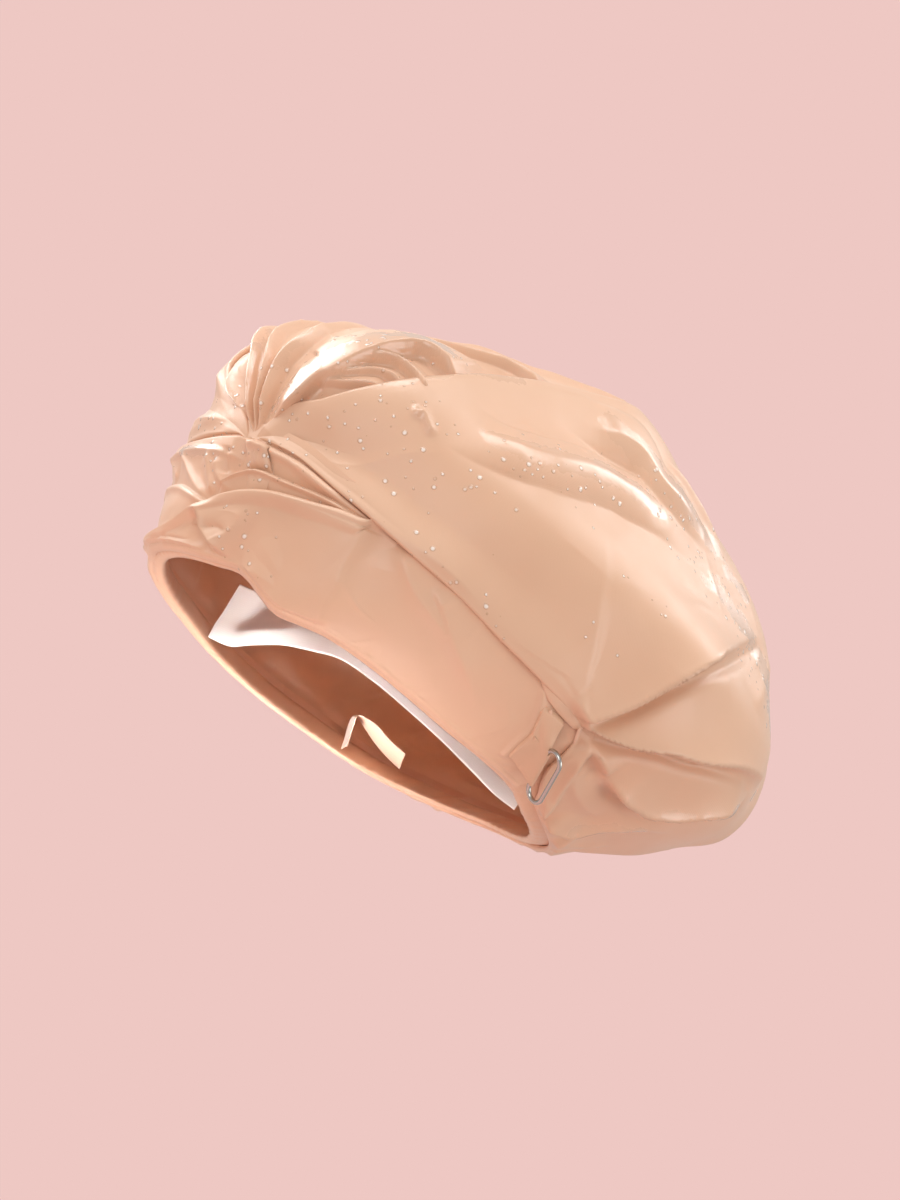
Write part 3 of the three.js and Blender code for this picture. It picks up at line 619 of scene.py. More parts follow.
def cloth_material(name, shades, roughness, sheen, coat, pitch, wet=False, through=0.0):
    """A woven cloth: two close shades in soft clouds, threads and a fine crumple in the bump."""
    material, tree = new_material(name)
    place = add_node(tree, "ShaderNodeTexCoord").outputs["Object"]
    clouds = noise(tree, place, CLOUD_SCALE)
    weave = threads_of(tree, pitch)
    blend = maths(tree, "MULTIPLY_ADD", weave, 0.18, clouds)
    blend = map_range(tree, blend, 0.35, 0.75, 0, 1)
    shade = mix_colour(tree, blend, colour(shades[0]), colour(shades[1]))
    patches = noise(tree, place, GLOSS_SCALE, 4)
    gloss = map_range(tree, patches, 0.3, 0.7, roughness - 0.06, roughness + 0.06)
    height = maths(tree, "MULTIPLY_ADD", noise(tree, place, CRUMPLE_SCALE, 3), 0.8, weave)
    bump = bump_of(tree, height, 0.1, 0.3 * MM)
    inputs = {
        "Base Color": shade,
        "Roughness": gloss,
        "IOR": 1.53,
        "Sheen Weight": sheen,
        "Sheen Roughness": 0.45,
        "Coat Weight": coat,
        "Coat Roughness": 0.14,
        "Normal": bump,
    }
    if wet:
        beads = water_beads(tree, place)
        patchy = map_range(tree, noise(tree, place, WET_EDGE_SCALE, 4, 0.6), 0.3, 0.7, -0.35, 0.35)
        film = map_range(tree, maths(tree, "ADD", painted(tree, "wet"), patchy), 0.35, 0.6, 0, 1)
        bead_bump = bump_of(tree, beads, 0.8, 0.5 * MM, Normal=bump)
        is_bead = map_range(tree, beads, 0.0, 0.1, 0, 1)
        wetness = maths(tree, "MAXIMUM", film, is_bead)
        dry_less = map_range(tree, wetness, 0, 1, 1, 0.4)
        inputs["Roughness"] = maths(tree, "MULTIPLY", gloss, dry_less)
        inputs["Coat Weight"] = map_range(tree, wetness, 0, 1, coat, 0.75)
        inputs["Normal"] = bead_bump
        inputs["Coat Normal"] = bead_bump
        # painted highlight and painted shade: each drop's middle is painted near white as the light it
        # catches, and its edge is painted a darker brown as shade
        rim = mix_colour(tree, maths(tree, "MULTIPLY", is_bead, 0.3), shade, colour("#c49470"))
        middle = map_range(tree, beads, 0.45, 0.75, 0, 0.85)
        inputs["Base Color"] = mix_colour(tree, middle, rim, colour("#fff6ec"))
    shader = add_node(tree, "ShaderNodeBsdfPrincipled", inputs).outputs[0]
    if through:
        glow = add_node(tree, "ShaderNodeBsdfTranslucent", {"Color": shade}).outputs[0]
        shader = add_node(tree, "ShaderNodeMixShader", {0: through, 1: shader, 2: glow}).outputs[0]
    add_node(tree, "ShaderNodeOutputMaterial", {"Surface": shader})
    return material


# Nylon yarns are about 0.3 mm apart; they are drawn at 0.6 mm, the finest that shows
nylon = cloth_material(
    "coated_nylon", ("#e2b696", "#e8be9f"), 0.42, 0.15, 0.12, 0.6 * MM, wet=True, through=0.12
)
plain_nylon = cloth_material(
    "coated_nylon_dry", ("#e0b392", "#e6bb9b"), 0.45, 0.15, 0.1, 0.6 * MM, through=0.12
)
satin = cloth_material(
    "satin_lining", ("#e2b898", "#ebc8aa"), 0.4, 0.25, 0.0, 0.5 * MM, through=0.4
)
white_ribbon = cloth_material("silicone_ribbon", ("#ebe4de", "#f4efeb"), 0.42, 0.15, 0.15, 0.8 * MM)
elastic = cloth_material("ribbed_elastic", ("#e6dfd8", "#f0ebe5"), 0.8, 0.2, 0.0, 1.0 * MM)
ribbon = cloth_material("woven_ribbon", ("#cfa88f", "#dcb9a2"), 0.45, 0.3, 0.0, 0.5 * MM)
yarn = cloth_material("polyester_thread", ("#d4a386", "#e2b79b"), 0.5, 0.3, 0.0, 0.4 * MM)

# %% Steel of the ring
steel, tree = new_material("polished_steel_wire")
place = add_node(tree, "ShaderNodeTexCoord").outputs["Object"]
# wear marks about a millimetre long
scratches = noise(tree, place, 900, 3, 0.6)
bump = bump_of(tree, scratches, 0.05, 0.1 * MM)
shader = add_node(
    tree,
    "ShaderNodeBsdfPrincipled",
    {
        "Base Color": colour("#b9b7b2"),
        "Metallic": 1.0,
        "Roughness": map_range(tree, scratches, 0.3, 0.7, 0.12, 0.26),
        "Normal": bump,
    },
)
add_node(tree, "ShaderNodeOutputMaterial", {"Surface": shader.outputs[0]})

# %% [markdown]
# ## Making a sheet
# Each cloth panel starts as a flat grid. Its vertices are then placed by formula on the form,
# and its flat coordinates are set to its real size, so that the weave keeps its scale. A grid
# keeps the threads of the panel in order, which a sculpted lump would not. A flat size is the
# width and length, in metres, of the piece as it is cut.

# %% Sheet maker
def vertices_of(mesh):
    points = np.empty(len(mesh.vertices) * 3)
    mesh.vertices.foreach_get("co", points)
    return points.reshape(-1, 3)


def place_vertices(mesh, points):
    mesh.vertices.foreach_set("co", np.ascontiguousarray(points, np.float32).ravel())
    mesh.update()


def pick(piece):
    bpy.ops.object.select_all(action="DESELECT")
    piece.select_set(True)
    bpy.context.view_layer.objects.active = piece


def grid(name, cols, rows, place, flat, ring=False):
    """A grid of cols by rows cells, its vertices placed by place(u, v); ring closes it in u.
    flat is the width and length in metres that its weave is drawn to."""
    bpy.ops.object.select_all(action="DESELECT")
    bpy.ops.mesh.primitive_grid_add(x_subdivisions=cols, y_subdivisions=rows, size=2)
    piece = bpy.context.object
    piece.name = name
    mesh = piece.data
    mesh.name = name
    square = vertices_of(mesh)
    place_vertices(mesh, place((square[:, 0] + 1) / 2, (square[:, 1] + 1) / 2))
    uv_layer = mesh.uv_layers.active or mesh.uv_layers.new()
    corner = np.empty(len(mesh.loops), np.int32)
    mesh.loops.foreach_get("vertex_index", corner)
    flat_uv = (square[corner, :2] + 1) / 2 * np.array(flat)
    uv_layer.data.foreach_set("uv", np.ascontiguousarray(flat_uv, np.float32).ravel())
    mesh.update()
    if ring:
        pick(piece)
        bpy.ops.object.mode_set(mode="EDIT")
        bpy.ops.mesh.select_all(action="SELECT")
        bpy.ops.mesh.remove_doubles(threshold=0.00001)
        bpy.ops.object.mode_set(mode="OBJECT")
    return piece


def apply_modifier(piece, kind, **settings):
    pick(piece)
    modifier = piece.modifiers.new(kind.lower(), kind)
    for name, value in settings.items():
        setattr(modifier, name, value)
    bpy.ops.object.modifier_apply(modifier=modifier.name)


def thicken(piece, thickness=CLOTH):
    apply_modifier(piece, "SOLIDIFY", thickness=thickness, offset=-1, use_rim=True)


def paint(piece, name, marks, depth=4 * MM):
    """Paints a value of 0 to 1 on the piece's vertices: marks are lines of (turn, rise) places
    with a half width in mm and a strength. The lines lie a little above the form."""
    mesh = piece.data
    points = vertices_of(mesh)
    value = np.zeros(len(points))
    for places, width, strength in marks:
        curve, normals = smooth_line(places)
        distance, share = side_distance(points, (curve + normals * depth, normals))
        ends = smooth(share / 0.12) * smooth((1 - share) / 0.12)
        value = np.maximum(value, strength * bell(distance / (width * MM)) * (0.25 + 0.75 * ends))
    layer = mesh.attributes.new(name, "FLOAT", "POINT")
    layer.data.foreach_set("value", value.astype(np.float32))


def area_of(piece):
    return sum(face.area for face in piece.data.polygons)


def dress(piece, material, nodes, flat=None, layers=1):
    """Finishes a piece: material, shading, body, CAD nodes that it stands for, and cut."""
    piece.data.materials.clear()
    piece.data.materials.append(material)
    pick(piece)
    bpy.ops.object.shade_smooth()
    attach(piece, "cap")
    if nodes:
        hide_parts(*nodes)
    if flat:
        area = area_of(piece) / layers
        share = area / (flat[0] * flat[1])
        print(f"{piece.name}: {len(piece.data.polygons)} faces, {area:.4f} m2, {share:.2f} of its cut")
    return piece


# %% [markdown]
# ## Edge lines
# The panels meet on lines that the CAD part also uses: the bag's lower edge, the leaf-shaped
# outline of the fan, and the band's top edge over the brow.

# %% Edge tables
CROWN_LOW_SHARES = [
    (-180, 0.02), (-122, 0.02), (-118, 0.04), (-113, 0.07), (-108, 0.11), (-104, 0.155),
    (-101, 0.19), (-87, 0.225), (-68, 0.254), (-50, 0.266), (-34, 0.275), (-16, 0.287),
    (-2, 0.297), (8, 0.306), (14, 0.309), (20, 0.31), (25, 0.308), (30, 0.3), (35, 0.291),
    (40, 0.285), (46, 0.276), (54, 0.266), (63, 0.257), (74, 0.241), (84, 0.232), (93, 0.223),
    (99, 0.2), (104, 0.155), (108, 0.11), (113, 0.07), (118, 0.04), (122, 0.02), (180, 0.02),
]
BROW_TOP_SHARES = [
    (-70, 0.25), (-58, 0.21), (-40, 0.11), (-28, 0.05), (-16, 0.035), (-4, 0.055), (2, 0.086),
    (4.5, 0.107), (7, 0.131), (10.5, 0.149), (12.5, 0.165), (15.5, 0.185), (18.5, 0.2),
    (23, 0.217), (26, 0.225), (32.5, 0.239), (38, 0.253), (44, 0.264),
]
LEAF_HALF_SHARES = [
    (-0.69, 0.006), (-0.64, 0.04), (-0.59, 0.08), (-0.54, 0.14), (-0.45, 0.196), (-0.35, 0.225),
    (-0.257, 0.212), (-0.186, 0.187), (-0.05, 0.13), (0.05, 0.07), (0.1, 0),
]
# How much further it reaches on the far side
LEAF_FAR_SHARES = [
    (-0.69, 0.0), (-0.665, 0.02), (-0.64, 0.08), (-0.61, 0.12), (-0.57, 0.125), (-0.52, 0.095),
    (-0.45, 0.05), (-0.35, 0.015), (-0.2, 0.0), (0.1, 0.0),
]
LEAF_FRONT, LEAF_BACK = LEAF_HALF_SHARES[0][0], LEAF_HALF_SHARES[-1][0]
KNOT_TURN = 10
NEAR_MERGE_TURN = 47
FAR_MERGE_TURN = -68
GATHER_TURN = 101
BAND_END_TURN = GATHER_TURN + 13


def crown_low(turn):
    """The rise of the bag's lower edge."""
    return np.maximum(EDGE_RISE, along(CROWN_LOW_SHARES, signed_turn(turn)))


def leaf_centre(b):
    """The middle of the fan's leaf-shaped outline, in plan, at a place b from front to back."""
    forward = np.maximum(0, b / LEAF_FRONT)
    return 0.12 * forward + 0.022 * forward**6 - along(LEAF_FAR_SHARES, b) / 2


def leaf_half(b):
    """Half the width of that outline."""
    return np.maximum(0, along(LEAF_HALF_SHARES, b)) + along(LEAF_FAR_SHARES, b) / 2


def roll_over(run, radius, base):
    """A folded edge: from under it (run below 0), round a small roll, to the top side.
    Gives how far in from the edge the cloth is, and how high."""
    arc = math.pi * radius
    angle = np.clip(run / np.maximum(radius, 1e-9), 0, math.pi)
    inward = np.where(run < 0, -run, np.where(run > arc, run - arc, 0))
    bulge = -radius * np.sin(angle) * (run >= 0) * (run <= arc)
    return inward + bulge, base + radius * (1 - np.cos(angle))


# %% [markdown]
# ## The ring's own frame
# The ring turns about one of its long bars, which the joint in the frame places. The cloth
# beside it is laid low enough for the ring to lie flat on it.

# %% The ring's frame and the room it needs
ring_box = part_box("hanging_ring")
RING_LENGTH, RING_WIDTH, RING_WIRE = 26 * MM, 10 * MM, 1.8 * MM
RING_WIRE_RADIUS = RING_WIRE / 2
ring_joint = frame["joints"][0]
RING_ORIGIN = np.array(ring_joint["pos_m"])
RING_X = unit(np.array(ring_joint["axis"]))
RING_Z = np.array([0.7403, 0.1002, -0.6648])
RING_Z = unit(RING_Z - RING_X * (RING_Z @ RING_X))
RING_Y = np.cross(RING_Z, RING_X)
RING_REST = math.radians(62)


def from_ring(points):
    """Points of the ring's own frame, in the cap's frame."""
    return RING_ORIGIN + points[:, :1] * RING_X + points[:, 1:2] * RING_Y + points[:, 2:3] * RING_Z


def to_ring(points):
    """Points of the cap's frame, in the ring's own."""
    local = points - RING_ORIGIN
    return np.stack([local @ RING_X, local @ RING_Y, local @ RING_Z], -1)


# How far beyond the ring the cloth is laid low, and how far below its bar
RING_ROOM_SIDE, RING_ROOM_BELOW, RING_ROOM_FADE = 1.6 * MM, 1.5 * MM, 5 * MM


def leave_ring_room(points):
    """Lays the cloth low where the ring comes down on it."""
    local = to_ring(points)
    past_x = np.abs(local[:, 0]) - RING_LENGTH / 2 - RING_ROOM_SIDE
    middle_y = (RING_WIDTH - RING_WIRE) / 2
    past_y = np.abs(local[:, 1] - middle_y) - RING_WIDTH / 2 - RING_ROOM_SIDE
    outside = np.maximum(np.maximum(past_x, past_y), 0)
    near = (np.abs(local[:, 2]) < 15 * MM) * (1 - smooth(outside / RING_ROOM_FADE))
    local[:, 2] -= np.maximum(0, local[:, 2] + RING_ROOM_BELOW) * near
    return from_ring(local)


# %% [markdown]
# ## The crown bag
# The bag runs from the knot at the brow, over one ear, round the back and over the other ear to
# the knot again. Its lower edge lies over the brow band and its upper edge over the fan, both
# folded under in a soft roll. Sharp folds run out from the gather by each ear, and long soft
# ones lie over the top.

# %% Folds of the crown bag
CROWN_FOLDS = [
    # long gleaming folds over the near side of the top
    fold([(46, 0.5), (52.5, 0.504), (58.5, 0.516), (63, 0.534), (66.5, 0.548), (71.5, 0.579),
          (76.5, 0.605), (80.5, 0.615), (85, 0.631), (90, 0.645), (104, 0.66), (124, 0.66)],
         5.0, 8, 8, 0.2, 0.35, puff=0.85),
    fold([(58, 0.69), (68.5, 0.702), (75.5, 0.728), (82, 0.732), (90.5, 0.702), (103, 0.71),
          (122, 0.715)], 5.6, 9, 6, 0.3, 0.3, puff=0.7),
    fold([(88, 0.8), (100, 0.79), (114, 0.77), (130, 0.74)], 3.2, 5, 5, 0.4, 0.4),
    # the short bent crease on the near side
    fold([(39, 0.476), (40, 0.464), (41, 0.47), (42.5, 0.462), (43.5, 0.456), (44.5, 0.448)],
         1.7, 1.1, 1.1, 0.2, 0.2, puff=0.4),
    # the soft upright crease from the gather to the top
    fold([(90.5, 0.236), (89.5, 0.27), (87, 0.3), (84, 0.345), (81, 0.397), (79, 0.47),
          (78, 0.54)], 2.2, 16, 3, 0.1, 0.6, narrow=0.6),
    # the fan of folds from the near gather, each lying over the next
    fold([(92, 0.216), (95, 0.23), (95.5, 0.252), (96, 0.28), (97, 0.333), (98.5, 0.373),
          (102, 0.423), (106.5, 0.468), (115.5, 0.53), (128.5, 0.597), (142, 0.63)],
         7.6, 13, 1.5, 0.06, 0.4, narrow=0.6, foot=0.35, pinch=0.9, hollow=3.2),
    fold([(95.5, 0.208), (99, 0.23), (103.5, 0.254), (106, 0.276), (109, 0.3), (114.5, 0.325),
          (119, 0.351), (125, 0.377), (136, 0.405), (150, 0.42)],
         7.8, 9, 1.4, 0.06, 0.4, narrow=0.6, foot=0.35, pinch=0.9, hollow=3.4),
    fold([(98, 0.2), (103, 0.203), (108, 0.197), (113, 0.184)], 4.2, 4, 1.5, 0.1, 0.2, foot=0.3,
         hollow=1.4),
    fold([(113, 0.184), (118.5, 0.186), (122, 0.194), (126, 0.206), (129.5, 0.24), (131, 0.282),
          (133.5, 0.315), (136, 0.339), (138, 0.37)], 6.4, 7, 1.4, 0.15, 0.3, pinch=0.8, foot=0.2,
         hollow=3.2),
    fold([(112, 0.21), (119, 0.22), (126, 0.25), (131, 0.3)], 2.4, 5, 3, 0.3, 0.4),
    # the lip beside the ring, down to the hem
    fold([(101, 0.2), (103.5, 0.19), (106.5, 0.163), (110.5, 0.127), (115.5, 0.085), (121, 0.044),
          (124, 0.013)], 4.0, 2.4, 4.5, 0.12, 0.05, puff=0.6),
    fold([(106, 0.165), (112, 0.135), (118, 0.12), (126, 0.125), (134, 0.15)], 2.4, 5, 4, 0.2, 0.4),
    fold([(126, 0.012), (130, 0.04), (134, 0.071), (134.5, 0.105), (134, 0.143), (135, 0.171),
          (138.5, 0.206), (146, 0.24)], 4.0, 5, 3, 0.15, 0.4, pinch=0.6),
    fold([(146, 0.6), (138, 0.58), (128, 0.51), (122, 0.46)], 2.2, 7, 9, 0.4, 0.4),
    fold([(140, 0.02), (146, 0.06), (150, 0.12), (150, 0.2)], 2.4, 6, 5, 0.2, 0.4),
    # the far side
    fold([(-94, 0.216), (-97, 0.25), (-100, 0.32), (-106, 0.41), (-118, 0.5), (-136, 0.57)],
         5.4, 3, 14, 0.1, 0.45, narrow=0.5, foot=0.3),
    fold([(-98, 0.2), (-106, 0.24), (-114, 0.29), (-124, 0.34), (-140, 0.37)],
         5, 3, 10, 0.1, 0.4, narrow=0.5, foot=0.3),
    fold([(-102, 0.19), (-110, 0.19), (-120, 0.21), (-134, 0.24)], 3.6, 4, 7, 0.12, 0.4, foot=0.3),
    fold([(-105, 0.16), (-113, 0.13), (-124, 0.12), (-138, 0.14)], 3, 5, 6, 0.12, 0.4, foot=0.3),
    fold([(-60, 0.44), (-74, 0.52), (-92, 0.6), (-118, 0.66), (-146, 0.68)], 4.4, 8, 12, 0.3, 0.35),
    fold([(-58, 0.66), (-76, 0.72), (-98, 0.75), (-128, 0.74)], 4, 7, 10, 0.35, 0.35),
    fold([(-80, 0.6), (-82, 0.46), (-86, 0.34), (-91, 0.225)], 2.4, 12, 6, 0.4, 0.15),
    fold([(6, 0.32), (-10, 0.325), (-30, 0.33), (-52, 0.35)], 2.2, 5, 7, 0.3, 0.5, narrow=0.3),
    fold([(5, 0.34), (-12, 0.4), (-34, 0.43), (-60, 0.45)], 1.8, 5, 7, 0.3, 0.5, narrow=0.3),
    # the back
    fold([(152, 0.03), (157, 0.16), (159, 0.3), (156, 0.46), (150, 0.6)], 3.4, 12, 8, 0.2, 0.5),
    fold([(-152, 0.03), (-160, 0.16), (-164, 0.32), (-160, 0.46)], 3.4, 8, 12, 0.2, 0.5),
    fold([(178, 0.03), (175, 0.14), (178, 0.28), (-176, 0.42)], 3, 8, 9, 0.2, 0.5),
    fold([(-140, 0.03), (-143, 0.1), (-146, 0.2)], 2.4, 6, 6, 0.2, 0.5),
    fold([(168, 0.7), (172, 0.58), (168, 0.48)], 2.6, 9, 9, 0.4, 0.5),
    fold([(150, 0.86), (178, 0.8), (-160, 0.76)], 3, 9, 9, 0.4, 0.4),
]

# %% The crown bag's sheet
CROWN_START = KNOT_TURN + 0.8
CROWN_SPAN = 358.4
EDGE_ROLL = 1.3 * MM
EDGE_UNDER = 9 * MM
# How far in from a rolled edge the cloth comes down to the form
EDGE_SETTLE = 24 * MM
ROWS_UNDER, ROWS_ROLL, ROWS_TOP = 4, 7, 148
CROWN_ROWS = 2 * (ROWS_UNDER + ROWS_ROLL) + ROWS_TOP
CROWN_COLS = 560
NEAR_SHARE = 0.6


def near_dense(u):
    """Spreads columns so that the near half, which the photograph shows, has more of them."""
    return np.where(
        u < NEAR_SHARE,
        0.5 * u / NEAR_SHARE,
        0.5 + 0.5 * (u - NEAR_SHARE) / (1 - NEAR_SHARE),
    )


# The puckers of the bag over the hem: where they start, how many go round, how high they are, and
# the rise at which they are gone
PUCKERS_FROM, PUCKERS, PUCKER_HEIGHT, PUCKER_RISE = 114, 34, 1.4 * MM, 0.16


def gathers(points, turn, rise, seed):
    """Upright puckers over the elasticated hem at the back, dying away upwards."""
    round_back = smooth((np.abs(signed_turn(turn)) - PUCKERS_FROM) / 14)
    phase = ripples(points * np.array([1, 1, 0.25]), 26 * MM, seed) * 3.0
    wave = np.sin(np.radians(signed_turn(turn)) * PUCKERS + phase)
    deep = 1 - smooth(rise / PUCKER_RISE)
    return (0.5 + 0.5 * wave) ** 1.6 * deep * round_back * PUCKER_HEIGHT


def crown_place(u, v):
    """The bag: u goes round from the knot to the knot, v from the lower edge to the fan's."""
    w = near_dense(u)
    turn = CROWN_START + CROWN_SPAN * w
    near = w < 0.5
    share = np.where(near, 2 * w, 2 - 2 * w)
    b = LEAF_FRONT + (LEAF_BACK - LEAF_FRONT) * np.sin(share * math.pi / 2) ** 1.2
    high_a = leaf_centre(b) + np.where(near, 1, -1) * leaf_half(b)
    low_a, low_b = plan_of(turn, crown_low(turn))
    length = np.hypot(high_a - low_a, b - low_b) * RISE_LENGTH
    side = signed_turn(turn)
    thin = bell((np.abs(side) - GATHER_TURN + 3) / 9)
    radius = np.minimum(EDGE_ROLL, 0.08 * length)
    low_radius = radius * (1 - 0.7 * thin)
    under = np.minimum(EDGE_UNDER, 0.4 * length)
    arc, low_arc = math.pi * radius, math.pi * low_radius
    # each row's place: under the low edge, round it, across, round the high edge and under it
    row = v * CROWN_ROWS
    roll_start, top_start = ROWS_UNDER, ROWS_UNDER + ROWS_ROLL
    top_end = top_start + ROWS_TOP
    low_run = np.where(
        row < roll_start,
        -under * (1 - row / roll_start),
        low_arc * np.minimum(1, (row - roll_start) / ROWS_ROLL),
    )
    back_row = CROWN_ROWS - row
    high_run = np.where(
        back_row < roll_start,
        -under * (1 - back_row / roll_start),
        arc * np.minimum(1, (back_row - roll_start) / ROWS_ROLL),
    )
    top_share = np.clip((row - top_start) / ROWS_TOP, 0, 1)
    over_band = 1 - smooth((np.abs(side) - BAND_END_TURN) / 6)
    merge = np.where(near, NEAR_MERGE_TURN, FAR_MERGE_TURN)
    stack = 1 + 1.4 * bell((side - merge) / 9) + 0.8 * bell((side - KNOT_TURN) / 16)
    low_base = (0.9 * over_band * stack * (1 - 0.5 * thin) - 0.4) * MM
    high_base = 0.8 * MM + 0 * u
    low_in, low_lift = roll_over(low_run, low_radius, low_base)
    high_in, high_lift = roll_over(high_run, radius, high_base)
    inward = np.where(
        row <= top_start, low_in, np.where(row < top_end, top_share * length, length - high_in)
    )
    across = inward / np.maximum(length, 1e-9)
    a = low_a + (high_a - low_a) * across
    bb = low_b + (b - low_b) * across
    base = form_point(a, bb)
    from_low, from_high = top_share * length, (1 - top_share) * length
    edge_lift = np.maximum(
        (low_base + 2 * low_radius) * (1 - smooth(from_low / EDGE_SETTLE)),
        (high_base + 2 * radius) * (1 - smooth(from_high / EDGE_SETTLE)),
    )
    rise = 1 - np.hypot(a, bb)
    field = fold_field(base, CROWN_FOLDS)
    field = field + ripples(base, 62 * MM, 3) * 0.6 * MM + ripples(base, 24 * MM, 4) * 0.1 * MM
    field = field + crumple(base, 46 * MM, 6) * 0.35 * MM + gathers(base, turn, rise, 5)
    low_fade = np.where(over_band > 0.5, 5 * MM, 2.5 * MM)
    inside = smooth(from_low / low_fade) * smooth(from_high / (5 * MM))
    top_lift = edge_lift + field * inside
    lift = np.where(row <= top_start, low_lift, np.where(row < top_end, top_lift, high_lift))
    return leave_ring_room(lifted(a, bb, lift))


CROWN_FLAT = (0.66, 0.21)
crown = grid("crown_bag", CROWN_COLS, CROWN_ROWS, crown_place, CROWN_FLAT)
paint(crown, "wet", [
    ([(50, 0.5), (58.5, 0.513), (66.5, 0.545), (76.5, 0.601), (85, 0.627), (94, 0.644)], 5, 1.4),
    ([(66, 0.712), (73.5, 0.726), (80.5, 0.727), (86.5, 0.716), (90.5, 0.704), (100.5, 0.712),
      (107.5, 0.717), (115.5, 0.717), (124.5, 0.712)], 6, 1.4),
    ([(126, 0.22), (130, 0.26), (133.5, 0.315), (137, 0.35)], 2.6, 1),
    ([(118, 0.684), (130, 0.688), (132, 0.665)], 5, 1),
    ([(38, 0.482), (40, 0.464), (42.5, 0.462), (45, 0.444)], 2.2, 1.2),
    ([(24, 0.415), (34, 0.494), (42, 0.6), (50, 0.68)], 3, 0.8),
    ([(132, 0.05), (134.5, 0.105), (134, 0.143), (138.5, 0.206)], 4, 0.9),
    ([(104, 0.62), (124, 0.6), (140, 0.5), (150, 0.36)], 9, 0.8),
])
paint(crown, "beads", [
    ([(14, 0.32), (30, 0.36), (44, 0.4), (58, 0.44)], 16, 0.8),
    ([(30, 0.42), (44, 0.47), (60, 0.5), (80, 0.58)], 11, 0.6),
    ([(30, 0.31), (48, 0.29), (62, 0.27), (76, 0.26)], 10, 0.7),
    ([(84, 0.66), (100, 0.66), (120, 0.62), (140, 0.5)], 16, 1.0),
    ([(6, 0.31), (-8, 0.31), (-24, 0.32)], 9, 1.0),
    ([(70, 0.4), (90, 0.45), (104, 0.5)], 22, 0.12),
])
dress(crown, nylon, ["crown_panel"], CROWN_FLAT)

# %% [markdown]
# ## The fan of pleats
# The fan starts bunched at the knot and spreads up and back, each pleat laid over the next like
# the ribs of a hand fan, and sinks under the bag's edge one pleat after the other.

